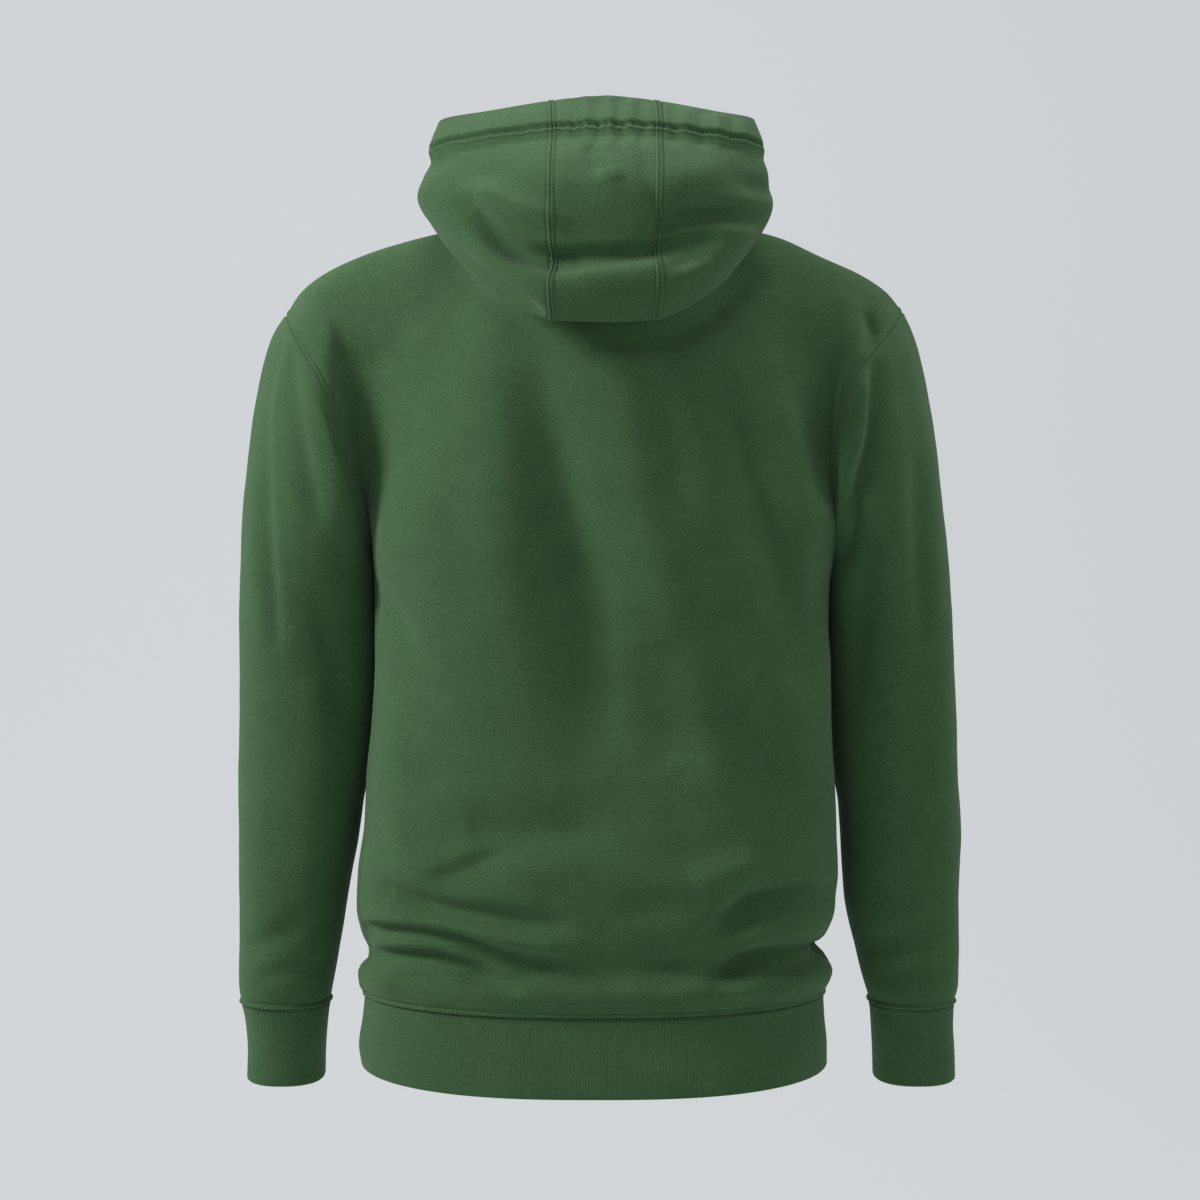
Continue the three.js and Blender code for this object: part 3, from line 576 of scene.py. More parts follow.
# cloth rolling over each armhole seam, shared by the back and the sleeve
rollLeft = (0, 6, 13, 3.6, [(230, -64), (219, -78), (216, -103), (215, -144), (204, -194), (191, -266)])
rollRight = (0, 5, 27, 7.5, [(-214, -66), (-215, -108), (-213, -140), (-208, -178), (-197, -208),
                             (-191, -262)])

folds = {
    "back": [
        # upper left, below the hood and towards the armhole
        (0, 13, 13, -3.6, [(152, -90), (184, -104)]),
        rollLeft,
        (0, 12, 12, 3, [(128, -86), (178, -98)]),
        # under the hood's edge
        (0, 11, 11, -10, [(-10, -96), (-60, -88), (-94, -68), (-128, -38)]),
        (0, 8, 8, -3, [(18, -94), (50, -84), (90, -54), (118, -26)]),
        # centre, from under the hood down the back
        (0, 22, 28, -11, [(54, -100), (34, -167), (20, -234), (6, -308), (0, -392)]),
        (0, 55, 55, -6.5, [(14, -210), (-4, -330), (-10, -440)]),
        (0, 26, 26, 4.8, [(84, -130), (76, -220), (68, -320)]),
        (0, 22, 22, 5, [(-16, -130), (-38, -230), (-62, -330)]),
        (0, 15, 15, -3.2, [(-50, -104), (-70, -210)]),
        # right, along the armhole
        (0, 14, 26, -12, [(-102, -140), (-122, -190), (-138, -240), (-152, -286), (-166, -324)]),
        (0, 13, 13, 5, [(-150, -140), (-170, -250)]),
        (0, 8, 8, -4, [(-178, -250), (-184, -330)]),
        rollRight,
        (0, 6, 6, -5.5, [(-221, -68), (-227, -84), (-222, -98)]),
        # lower right, slanting to the side seam
        (0, 14, 28, -10, [(-106, -376), (-156, -456)]),
        (0, 14, 14, 3.4, [(-128, -345), (-172, -410)]),
        (0, 26, 26, -6, [(-43, -332), (-67, -429)]),
        (0, 18, 18, 3.2, [(-76, -430), (-134, -496)]),
        # left, below the armpit
        (0, 12, 12, -6, [(174, -291), (150, -335)]),
        (0, 30, 30, -3, [(150, -350), (118, -450)]),
        (0, 14, 14, 2.2, [(166, -400), (158, -500)]),
        # slack above the hem
        (0, 19, 19, -7, [(103, -482), (2, -480)]),
        (0, 16, 16, 4, [(120, -504), (20, -506)]),
        (0, 7, 17, -6.5, [(130, -519), (74, -498)]),
        (0, 8, 17, -11, [(160, -530), (128, -540), (80, -546), (34, -551)]),
        (0, 8, 10, 4.4, [(150, -553), (16, -567)]),
        (0, 14, 14, -3.6, [(-20, -545), (-90, -531)]),
        (0, 5, 5, 5, [(182, -552), (140, -553), (84, -561), (30, -572)]),
        (0, 5, 9, -10, [(186, -563), (150, -560), (112, -564), (76, -578), (36, -585)]),
        (0, 9, 9, -3.4, [(44, -586), (-10, -589), (-66, -584)]),
        (0, 5, 5, 5, [(178, -572), (130, -569), (92, -580), (64, -592)]),
        (0, 5, 7, -8, [(172, -584), (140, -580), (104, -586), (64, -601)]),
        (0, 5, 5, 5, [(176, -593), (132, -591), (104, -597)]),
        (0, 8, 8, 4, [(190, -600), (160, -604)]),
        (0, 7, 15, -15, [(-94, -554), (-108, -545), (-126, -534), (-155, -530), (-182, -533)]),
        (0, 14, 14, 6, [(-76, -524), (-130, -504)]),
        (0, 9, 9, 6, [(-110, -566), (-182, -556)]),
        (0, 6, 12, -12.5, [(-98, -593), (-114, -585), (-136, -580), (-184, -583)]),
        (0, 9, 9, -3.4, [(-50, -586), (-108, -591)]),
        (0, 8, 8, 3.4, [(-60, -606), (-160, -604)]),
    ],
    "front": [
        (0, 18, 18, -5.5, [(118, -160), (135, -227), (158, -292)]),
        (0, 18, 18, -5.5, [(-112, -150), (-133, -226), (-160, -300)]),
        (0, 26, 26, -3.5, [(-20, -190), (8, -370)]),
        (0, 16, 16, -3, [(40, -120), (96, -110)]),
        (0, 16, 16, -3, [(-36, -124), (-100, -112)]),
        (0, 18, 18, -3, [(120, -400), (156, -470)]),
        (0, 18, 18, -3.4, [(-118, -392), (-158, -462)]),
        (0, 11, 17, -6, [(150, -532), (60, -552)]),
        (0, 8, 8, 2.6, [(160, -556), (66, -570)]),
        (0, 11, 17, -7, [(-158, -528), (-92, -550)]),
        (0, 8, 8, 2.8, [(-164, -560), (-70, -568)]),
        (0, 8, 12, -5, [(-120, -588), (30, -584)]),
        (0, 8, 12, -4.4, [(60, -590), (164, -586)]),
    ],
    "sleeve_left": [
        rollLeft,
        (1, 7, 12, -4.4, [(248, -92), (240, -150), (224, -232)]),
        (1, 4, 9, -3.6, [(256, -76), (268, -140), (267, -195), (263, -266), (258, -330)]),
        (1, 9, 9, 1.8, [(280, -190), (274, -330)]),
        (0, 12, 12, 3.4, [(181, -262), (183, -335), (190, -450)]),
        (1, 12, 12, -3, [(222, -300), (206, -400)]),
        (1, 22, 22, -2.2, [(272, -420), (250, -520)]),
        (1, 11, 11, -3.6, [(232, -560), (290, -590)]),
        (1, 8, 8, -2.4, [(226, -596), (280, -612)]),
        (-1, 12, 12, -5, [(268, -130), (224, -260)]),
        (-1, 12, 12, -5, [(290, -400), (212, -372)]),
        (-1, 11, 11, -4, [(290, -470), (216, -440)]),
        (-1, 10, 10, -3.6, [(286, -590), (230, -570)]),
    ],
    "sleeve_right": [
        rollRight,
        (1, 10, 5, -10, [(-225, -112), (-223, -150), (-217, -182), (-208, -212), (-202, -262)]),
        (1, 10, 10, -3, [(-218, -240), (-214, -380)]),
        (1, 12, 12, 2, [(-240, -150), (-236, -330)]),
        (1, 10, 10, -6, [(-262, -182), (-266, -330)]),
        (1, 16, 16, -2.4, [(-270, -340), (-262, -470)]),
        (0, 12, 12, 3.4, [(-194, -262), (-195, -335), (-200, -450)]),
        (1, 11, 11, -3.6, [(-222, -588), (-288, -566)]),
        (1, 8, 8, -2.2, [(-230, -612), (-290, -602)]),
        (-1, 12, 12, -5, [(-262, -130), (-222, -262)]),
        (-1, 12, 12, -5, [(-292, -392), (-214, -366)]),
        (-1, 11, 11, -4, [(-292, -462), (-218, -436)]),
        (-1, 10, 10, -3.6, [(-290, -586), (-232, -566)]),
    ],
    "hood": [
        # left panel: pocket, the bulge above it and the roll below
        (0, 8, 8, -3, [(138, 53), (118, 48)]),
        (0, 12, 12, 2.4, [(146, 28), (128, 24)]),
        (1, 5, 17, -15, [(96, 6), (80, -10), (66, -21), (50, -30), (22, -34)]),
        (1, 10, 10, 7, [(92, 19), (66, 6), (30, -8)]),
        (1, 8, 8, 3.6, [(92, -22), (66, -40), (34, -50)]),
        (1, 5, 8, -9, [(118, -20), (84, -52), (46, -77)]),
        (1, 12, 12, -2, [(112, 34), (70, 36)]),
        # centre panel
        (1, 4, 13, -9, [(30, -34), (4, -32), (-24, -31), (-48, -25), (-84, -18)]),
        (1, 9, 9, 3.6, [(30, -50), (-10, -48), (-54, -41)]),
        (1, 5, 5, -3.6, [(8, 56), (3, 45), (-1, 32)]),
        (1, 9, 9, 3, [(-10, 34), (-14, 22)]),
        (1, 8, 8, 1.4, [(26, 50), (24, 14)]),
        (1, 7, 7, -2.8, [(-36, 40), (-44, 14), (-52, -10)]),
        # right panel
        (0, 9, 9, -6, [(-142, 30), (-116, 26)]),
        (1, 6, 14, -12, [(-44, -15), (-68, -3), (-97, 2), (-136, 5)]),
        (1, 8, 8, 5, [(-46, -23), (-92, -10), (-132, -14)]),
        (1, 14, 14, 2.4, [(-60, 24), (-104, 36)]),
        (1, 6, 6, -2.6, [(-58, -42), (-88, -33)]),
        (1, 14, 14, 2.4, [(-70, -60), (-118, -28)]),
    ],
}

# gathers of the casing: x, lowest and highest z, height
casingGathers = [
    (60, 64, 90, -0.5), (84, 62, 88, 0.5), (104, 60, 86, -0.5),
    (16, 62, 96, -0.9), (6, 60, 98, 1.0), (-2, 62, 97, -1.1), (-12, 58, 98, 1.1),
    (-20, 62, 96, -1.2), (-29, 60, 95, 1.0), (-37, 62, 94, -0.9),
    (-62, 62, 88, -1.1), (-72, 62, 88, 0.9), (-84, 62, 86, -1.2), (-97, 62, 84, 0.9),
    (-108, 60, 82, -1.2), (-119, 60, 80, 0.8),
]


def foldHeight(name, points, normals):
    x, z, facing = points[..., 0], points[..., 2], normals[..., 1]
    height = np.zeros(x.shape)
    for side, leftReach, rightReach, tall, path in folds.get(name, ()):
        steps = 8 * (len(path) - 1)
        line = along(path, np.linspace(0, 1, steps + 1))
        nearest = np.full(x.shape, 1e9)
        offset, place = np.zeros(x.shape), np.zeros(x.shape)
        for k in range(steps):
            runX, runZ = line[k + 1] - line[k]
            length = math.hypot(runX, runZ)
            fromX, fromZ = x - line[k][0], z - line[k][1]
            share = np.clip((fromX * runX + fromZ * runZ) / length**2, 0, 1)
            distance = np.hypot(fromX - share * runX, fromZ - share * runZ)
            closer = distance < nearest
            nearest = np.where(closer, distance, nearest)
            offset = np.where(closer, (fromX * runZ - fromZ * runX) / length, offset)
            place = np.where(closer, (k + share) / steps, place)
        toLeft = 0.5 + 0.5 * np.clip(offset / np.maximum(nearest, 1e-6), -1, 1)
        reach = rightReach + (leftReach - rightReach) * toLeft
        taper = 1 - 0.55 * np.abs(2 * place - 1) ** 3
        seen = smoothRamp(facing * side, 0, 0.5) if side else 1
        height += tall * taper * seen * hump(nearest, reach)
    return height


def gatherHeight(gather, points, normals):
    gatherX, low, high, tall = gather
    x, z = points[..., 0], points[..., 2]
    inBand = smoothRamp(z, low - 8, low) * smoothRamp(-z, -high - 6, -high)
    across = x - gatherX - 0.05 * (z - low)  # each gather leans a little
    return tall * inBand * hump(across, 3.4) * (normals[..., 1] > 0.1)


def unevenness(points, amount):
    # gentle, long waves that no cut or crease explains
    x, y, z = (points[..., k] for k in range(3))
    broad = np.sin(x / 37 + 1.3 * np.sin(z / 61)) * np.sin(z / 47 + y / 52 + 0.8)
    middle = np.sin(x / 17 - z / 29 + 2.1) * np.sin(z / 21 + x / 43 + y / 33)
    small = np.sin(x / 9.1 + z / 13.7 + y / 11) * np.sin(z / 8.3 - x / 15.1 + 0.5)
    return amount * (0.62 * broad + 0.28 * middle + 0.1 * small)


# Shell making

def gridNormals(grid, closed, turned):
    if closed:
        across = np.roll(grid, -1, axis=1) - np.roll(grid, 1, axis=1)
    else:
        across = np.gradient(grid, axis=1)
    up = np.gradient(grid, axis=0)
    normals = np.cross(across, up)
    normals /= np.maximum(np.linalg.norm(normals, axis=-1, keepdims=True), 1e-9)
    return -normals if turned else normals


def edgeDistances(grid, closed):
    # how far along the cloth each point is from the first and last row, and from the first and last column
    rowSteps = np.linalg.norm(np.diff(grid, axis=0), axis=-1)
    down = np.concatenate([np.zeros((1, grid.shape[1])), np.cumsum(rowSteps, axis=0)])
    columnSteps = np.linalg.norm(np.diff(grid, axis=1), axis=-1)
    across = np.concatenate([np.zeros((grid.shape[0], 1)), np.cumsum(columnSteps, axis=1)], axis=1)
    away = {"first": down, "last": down[-1:] - down}
    if not closed:
        away["start"] = across
        away["end"] = across[:, -1:] - across
    return away


# groove at the join, ridge of the allowance inside, and the dent of the needle row
seamKinds = {
    "band": {"groove": 0.3, "grooveReach": 0.7, "ridge": 1.5, "ridgeAt": 1.9, "ridgeReach": 1.5,
             "needleAt": 4.6, "needle": 0.8},
    "belowBand": {"groove": 0.9, "grooveReach": 1.4, "ridge": 0.2, "ridgeAt": 3.2, "ridgeReach": 1.6,
                  "needleAt": 6.2, "needle": 0.4},
    "panel": {"groove": 0.25, "grooveReach": 0.5, "ridge": 0.9, "ridgeAt": 1.2, "ridgeReach": 1.0,
              "needleAt": 3.0, "needle": 0.45},
    "armhole": {"groove": 0.4, "grooveReach": 0.9, "ridge": 0.9, "ridgeAt": 3.2, "ridgeReach": 2.0,
                "needleAt": 6.4, "needle": 0.3},
    "neck": {"groove": 0.6, "grooveReach": 0.9, "ridge": 0.4, "ridgeAt": 3.0, "ridgeReach": 2.0,
             "needleAt": 6.0, "needle": 0},
}


def seamRelief(distance, kind):
    sewn = seamKinds[kind]
    groove = -sewn["groove"] * hump(distance, sewn["grooveReach"])
    ridge = sewn["ridge"] * hump(distance - sewn["ridgeAt"], sewn["ridgeReach"])
    needle = -sewn["needle"] * hump(distance - sewn["needleAt"], 0.9)
    return groove + ridge + needle


def makeMesh(name, points, quads, uvs=None):
    mesh = bpy.data.meshes.new(name)
    mesh.vertices.add(len(points))
    mesh.vertices.foreach_set("co", (points * millimetre).astype(np.float32).ravel())
    mesh.loops.add(quads.size)
    mesh.loops.foreach_set("vertex_index", quads.astype(np.int32).ravel())
    mesh.polygons.add(len(quads))
    mesh.polygons.foreach_set("loop_start", np.arange(0, quads.size, 4, dtype=np.int32))
    mesh.polygons.foreach_set("use_smooth", np.ones(len(quads), bool))
    if uvs is not None:
        layer = mesh.uv_layers.new(name="cloth")
        layer.data.foreach_set("uv", uvs.astype(np.float32).ravel())
    mesh.update(calc_edges=True)
    mesh.validate()
    piece = bpy.data.objects.new(name, mesh)
    bpy.context.collection.objects.link(piece)
    return piece


def makeShell(name, grid, thickness, closed=False, turned=False, roundLast=False):
    # one closed wall: outer grid, optional rounded end, inner grid, and the edges between them
    normals = gridNormals(grid, closed, turned)
    thickness = np.broadcast_to(np.reshape(thickness, (-1, 1, 1)), (len(grid), 1, 1))
    inner = grid - normals * thickness
    layers = [grid]
    if roundLast:
        outward = grid[-1] - grid[-3]
        outward /= np.linalg.norm(outward, axis=-1, keepdims=True)
        middle = (grid[-1] + inner[-1]) / 2
        half = grid[-1] - middle
        radius = thickness[-1] / 2
        for step in range(1, 6):
            angle = math.pi * step / 6
            layers.append((middle + half * math.cos(angle) + outward * radius * math.sin(angle))[None])
    layers.append(inner[::-1])
    loop = np.concatenate(layers)
    rows, columns = loop.shape[:2]
    spans = columns if closed else columns - 1
    index = np.arange(rows * columns).reshape(rows, columns)
    beside = np.roll(index, -1, axis=1)
    corners = [index, beside, np.roll(beside, -1, axis=0), np.roll(index, -1, axis=0)]
    quads = np.stack([corner[:, :spans] for corner in corners], axis=-1).reshape(-1, 4)
    down = np.concatenate([[0], np.cumsum(np.linalg.norm(np.diff(loop, axis=0), axis=-1).mean(axis=1))])
    ring = np.linalg.norm(np.roll(grid, -1, axis=1) - grid, axis=-1).mean(axis=0)
    across = np.concatenate([[0], np.cumsum(ring)])
    nextDown = np.append(down[1:], down[-1] + 2)
    near, far = across[:spans], across[1:spans + 1]
    corners = [(near, down), (far, down), (far, nextDown), (near, nextDown)]
    uvs = np.stack([np.stack(np.meshgrid(u, v), axis=-1) for u, v in corners], axis=2)
    uvs = uvs.reshape(-1, 4, 2) * millimetre
    if not closed:
        # the two open sides, between the outer and inner grids
        outerRows = grid.shape[0]
        front = index[:outerRows]
        back = index[rows - outerRows:][::-1]
        first = np.stack([front[:-1, 0], front[1:, 0], back[1:, 0], back[:-1, 0]], axis=-1)
        last = np.stack([back[:-1, -1], back[1:, -1], front[1:, -1], front[:-1, -1]], axis=-1)
        caps = [first, last]
        if roundLast:
            ring = index[outerRows - 1:rows - outerRows + 1]
            for column, flip in ((0, False), (-1, True)):
                half = len(ring) // 2
                rim = [(ring[k, column], ring[k + 1, column], ring[-k - 2, column], ring[-k - 1, column])
                       for k in range(half - 1)]
                rim = np.array([quad[::-1] if flip else quad for quad in rim])
                caps.append(rim)
        caps = np.concatenate(caps)
        quads = np.concatenate([quads, caps])
        uvs = np.concatenate([uvs, np.zeros((len(caps), 4, 2))])
    if turned:
        quads, uvs = quads[:, ::-1], uvs[:, ::-1]
    return makeMesh(name, loop.reshape(-1, 3), quads, uvs)


hoodBand = {
    "proud": 1.8,  # how far the turned edge stands out
    "foot": 3.2,  # depth of the line at its foot
    "footReach": 1.3,
    "needleAt": 6.5,  # below the foot
    "needle": 0.45,
    "needleReach": 1.5,
    "pucker": 0.7,
    "puckerEvery": 8.5,
    "puckerReach": 7,
    "tuck": 4,  # how far the hood falls in under the edge
    "tuckReach": 26,
}


def footDistance(grid):
    # along the cloth from the foot of the hood's turned edge, positive towards the rim
    down = edgeDistances(grid, False)["first"]
    return down - down[sum(hoodFineRows[:-1])]


def hoodBandRelief(grid, normals):
    above = footDistance(grid)
    x = grid[..., 0]
    inView = smoothRamp(np.abs(normals[..., 1]), 0.1, 0.5)  # no notch where the edge turns at the sides
    height = hoodBand["proud"] * smoothRamp(above, 0, 3.5) * (0.4 + 0.6 * inView)
    height -= hoodBand["foot"] * inView * hump(above, hoodBand["footReach"])
    under = smoothRamp(-above, 2, 14) * hump(np.minimum(above, 0), hoodBand["tuckReach"])
    height -= hoodBand["tuck"] * under * smoothRamp(grid[..., 1], 30, 90)
    height -= hoodBand["needle"] * hump(above + hoodBand["needleAt"], hoodBand["needleReach"])
    wave = np.sin(2 * math.pi * (x + 6 * np.sin(x / 19)) / hoodBand["puckerEvery"])
    centre = 0.35 + 0.65 * hump(x + 4, 46)
    nearFoot = hump(above + 2, hoodBand["puckerReach"])
    return height + hoodBand["pucker"] * centre * wave * nearFoot


def finishCloth(name, grid, seams, waviness=1.2, closed=False, turned=False):
    # adds folds, waves and seam relief to a plain grid
    away = edgeDistances(grid, closed)
    normals = gridNormals(grid, closed, turned)
    height = np.zeros(grid.shape[:2])
    if "hood" not in name:  # the hood's folds are already in its grid
        free = smoothRamp(np.minimum.reduce(list(away.values())), 0, 14)
        height += (foldHeight(name, grid, normals) + unevenness(grid, waviness)) * free
    for edge, kind in seams.items():
        height += seamRelief(away[edge], kind)
    return grid + normals * height[..., None]


def foldedHood(sideColumns, centreColumns):
    # the three panels as one cloth, so that folds run on across the seams; returned apart again
    left, right = hoodSideGrid("left", sideColumns), hoodSideGrid("right", sideColumns)
    centre = hoodCentreGrid(centreColumns)
    whole = np.concatenate([left, centre[:, 1:], right[:, 1:]], axis=1)
    normals = gridNormals(whole, False, False)
    away = edgeDistances(whole, False)
    free = smoothRamp(np.minimum.reduce(list(away.values())), 0, 14)
    height = (foldHeight("hood", whole, normals) + unevenness(whole, 1.2)) * free
    for gather in casingGathers:
        height += gatherHeight(gather, whole, normals)
    fromThroat = np.minimum(away["start"], away["end"])
    height += hoodBandRelief(whole, normals) * smoothRamp(fromThroat, 4, 30)
    whole = whole + normals * height[..., None]
    firstSeam, lastSeam = left.shape[1] - 1, left.shape[1] + centre.shape[1] - 2
    return whole[:, :firstSeam + 1], whole[:, firstSeam:lastSeam + 1], whole[:, lastSeam:]


# Stitches

stitch = {
    "pitch": 3.4,
    "length": 2.5,
    "radius": 0.34,
    "rise": 0.12,
    "aim": 0.8,  # how far to each side of a stitch the row's direction is read
    "sides": 6,  # the two ends are closed for six
    # place along the thread in lengths, then its size and its height over the cloth in radii
    "sections": [
        (-0.5, 0.25, -1.1),
        (-0.34, 0.85, -0.1),
        (0, 1, 0.25),
        (0.34, 0.85, -0.1),
        (0.5, 0.25, -1.1),
    ],
}


def pathAt(grid, normals, closed, edge, distance):
    # the line on a grid that runs a given distance from one of its edges
    field = footDistance(grid) if edge == "foot" else edgeDistances(grid, closed)[edge]
    if edge in ("start", "end"):
        grid, normals, field = grid.transpose(1, 0, 2), normals.transpose(1, 0, 2), field.T
    points, directions = [], []
    for column in range(grid.shape[1]):
        order = np.argsort(field[:, column])
        at = field[order, column]
        points.append([np.interp(distance, at, grid[order, column, k]) for k in range(3)])
        directions.append([np.interp(distance, at, normals[order, column, k]) for k in range(3)])
    points, directions = np.array(points), np.array(directions)
    if closed:
        points, directions = np.vstack([points, points[:1]]), np.vstack([directions, directions[:1]])
    return points, directions / np.linalg.norm(directions, axis=1, keepdims=True)


def stitchLine(points, directions):
    # small rounded threads in a row: returns their points and faces
    steps = runningLength(points)
    count = max(1, int(steps[-1] / stitch["pitch"]))
    centres = (np.arange(count) + 0.5) * steps[-1] / count
    sides, sections = stitch["sides"], stitch["sections"]
    allPoints, allFaces = [], []

    def sample(values, at):
        return np.array([np.interp(at, steps, values[:, k]) for k in range(3)])

    for centre in centres:
        middle, normal = sample(points, centre), sample(directions, centre)
        tangent = sample(points, centre + stitch["aim"]) - sample(points, centre - stitch["aim"])
        tangent /= max(np.linalg.norm(tangent), 1e-9)
        normal = normal - tangent * normal.dot(tangent)
        normal /= max(np.linalg.norm(normal), 1e-9)
        binormal = np.cross(tangent, normal)
        start = len(allPoints)
        end = start + (len(sections) - 1) * sides
        for place, size, lift in sections:
            centreLine = middle + tangent * place * stitch["length"]
            centreLine = centreLine + normal * (stitch["rise"] + lift * stitch["radius"])
            for side in range(sides):
                angle = side * 2 * math.pi / sides
                around = binormal * math.cos(angle) + normal * math.sin(angle)
                allPoints.append(centreLine + around * stitch["radius"] * size)
        for ring in range(start, end, sides):
            for side in range(sides):
                here, beside = ring + side, ring + (side + 1) % sides
                allFaces.append((here, beside, beside + sides, here + sides))
        allFaces.append((start + 3, start + 2, start + 1, start))
        allFaces.append((start + 5, start + 4, start + 3, start))
        allFaces.append((end, end + 1, end + 2, end + 3))
        allFaces.append((end, end + 3, end + 4, end + 5))
    return np.array(allPoints), np.array(allFaces)


def makeStitches(name, rows):
    points, faces, base = [], [], 0
    for rowPoints, rowFaces in rows:
        points.append(rowPoints)
        faces.append(rowFaces + base)
        base += len(rowPoints)
    return makeMesh(name, np.concatenate(points), np.concatenate(faces))


# Materials

look = {
    "fleece": (0.056, 0.120, 0.051),
    "fleeceDark": (0.036, 0.082, 0.033),
    "fleeceNap": 850,
    "fleeceRelief": 0.6,
    "rib": (0.052, 0.112, 0.048),
    "ribDark": (0.034, 0.077, 0.031),
    "ribNap": 900,
    "ribRelief": 0.25,
    "ribPitch": 2.4,
    "thread": (0.054, 0.116, 0.050),
    "threadTwist": 1400,
}


def setInputs(node, values):
    for name, value in values.items():
        node.inputs[name].default_value = value


def newMaterial(name, values):
    material = bpy.data.materials.new(name)
    material.use_nodes = True
    nodes = material.node_tree.nodes
    surface = nodes["Principled BSDF"]
    setInputs(surface, values)
    return material, nodes, material.node_tree.links, surface


def noiseNode(nodes, scale, detail):
    node = nodes.new("ShaderNodeTexNoise")
    setInputs(node, {"Scale": scale, "Detail": detail, "Roughness": 0.55})
    return node


def twoColours(nodes, places, colours):
    ramp = nodes.new("ShaderNodeValToRGB")
    for k in (0, 1):
        ramp.color_ramp.elements[k].position = places[k]
        ramp.color_ramp.elements[k].color = (*colours[k], 1)
    return ramp


def clothMaterial(name, kind, ribPitch=0.0):
    material, nodes, links, surface = newMaterial(name, {
        "Roughness": 0.92,
        "Specular IOR Level": 0.06,
        "Sheen Weight": 0.13,
        "Sheen Roughness": 0.55,
        "Sheen Tint": (0.7, 0.92, 0.7, 1),
    })
    place = nodes.new("ShaderNodeTexCoord").outputs["Object"]
    fine = noiseNode(nodes, look[kind + "Nap"], 3)
    broad = noiseNode(nodes, 34, 4)
    courses = nodes.new("ShaderNodeMapping")
    setInputs(courses, {"Scale": (0.6, 0.8, 1.5)})  # the knit's rows run level round the body
    links.new(place, courses.inputs["Vector"])
    links.new(courses.outputs["Vector"], fine.inputs["Vector"])
    links.new(place, broad.inputs["Vector"])
    mix = nodes.new("ShaderNodeMix")
    mix.data_type = "FLOAT"
    mix.inputs["Factor"].default_value = 0.2
    links.new(fine.outputs["Fac"], mix.inputs["A"])
    links.new(broad.outputs["Fac"], mix.inputs["B"])
    tint = twoColours(nodes, (0.38, 0.62), (look[kind + "Dark"], look[kind]))
    links.new(mix.outputs["Result"], tint.inputs["Fac"])
    links.new(tint.outputs["Color"], surface.inputs["Base Color"])
    relief = nodes.new("ShaderNodeBump")
    setInputs(relief, {"Strength": look[kind + "Relief"], "Distance": 0.0009})
    links.new(fine.outputs["Fac"], relief.inputs["Height"])
    if ribPitch:
        knit = nodes.new("ShaderNodeTexWave")
        knit.wave_type = "BANDS"
        knit.bands_direction = "X"
        scale = math.pi / 10 / (ribPitch * millimetre)  # one band for each rib
        setInputs(knit, {"Scale": scale, "Distortion": 0.25, "Detail": 1, "Detail Scale": 2})
        uv = nodes.new("ShaderNodeUVMap")
        uv.uv_map = "cloth"
        links.new(uv.outputs["UV"], knit.inputs["Vector"])
        ribs = nodes.new("ShaderNodeBump")
        setInputs(ribs, {"Strength": 0.22, "Distance": 0.0008})
        links.new(knit.outputs["Fac"], ribs.inputs["Height"])
        links.new(relief.outputs["Normal"], ribs.inputs["Normal"])
        relief = ribs
    links.new(relief.outputs["Normal"], surface.inputs["Normal"])
    return material


def makeThreadMaterial():
    material, nodes, links, surface = newMaterial("sewing thread", {"Roughness": 0.6, "Sheen Weight": 0.1})
    twist = noiseNode(nodes, look["threadTwist"], 2)
    links.new(nodes.new("ShaderNodeTexCoord").outputs["Object"], twist.inputs["Vector"])
    dark = [0.7 * channel for channel in look["thread"]]
    pale = [1.25 * channel for channel in look["thread"]]
    tint = twoColours(nodes, (0, 1), (dark, pale))
    links.new(twist.outputs["Fac"], tint.inputs["Fac"])
    links.new(tint.outputs["Color"], surface.inputs["Base Color"])
    return material


fleeceMaterial = clothMaterial("brushed fleece", "fleece")
ribMaterial = clothMaterial("fine rib", "rib", look["ribPitch"])
threadMaterial = makeThreadMaterial()


# Pieces

# how thick each cloth is
cloth = {
    "fleece": 2.4,
    "rib": 3.0,
    "casing": 4.0,  # the hood's turned edge
}

threads = {}  # stitch rows by the piece that they are sewn into
# how far each kind of seam's stitches lie from its edge; the hood's lie below the foot of its turned edge
needleRow = {"band": 2.1, "belowBand": 6.2, "panel": 2.9, "foot": -hoodBand["needleAt"]}


def addCloth(name, grid, seams, material, flat, area, rows, closed=False, turned=False,
             thickness=cloth["fleece"], roundLast=False, waviness=1.2):
    # flat and area are those of the cut's part that shows, in metres
    shaped = finishCloth(name, grid, seams, waviness, closed, turned)
    piece = makeShell(name + "_cloth", shaped, thickness, closed, turned, roundLast)
    piece.data.materials.append(material)
    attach(piece, "root")
    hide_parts(name)
    normals = gridNormals(shaped, closed, turned)
    for edge in rows:
        kind = "foot" if edge == "foot" else seams[edge]
        points, directions = pathAt(shaped, normals, closed, edge, needleRow[kind])
        threads.setdefault(name, []).append(stitchLine(points, directions))
    print("made", name, len(piece.data.polygons), "faces", flush=True)


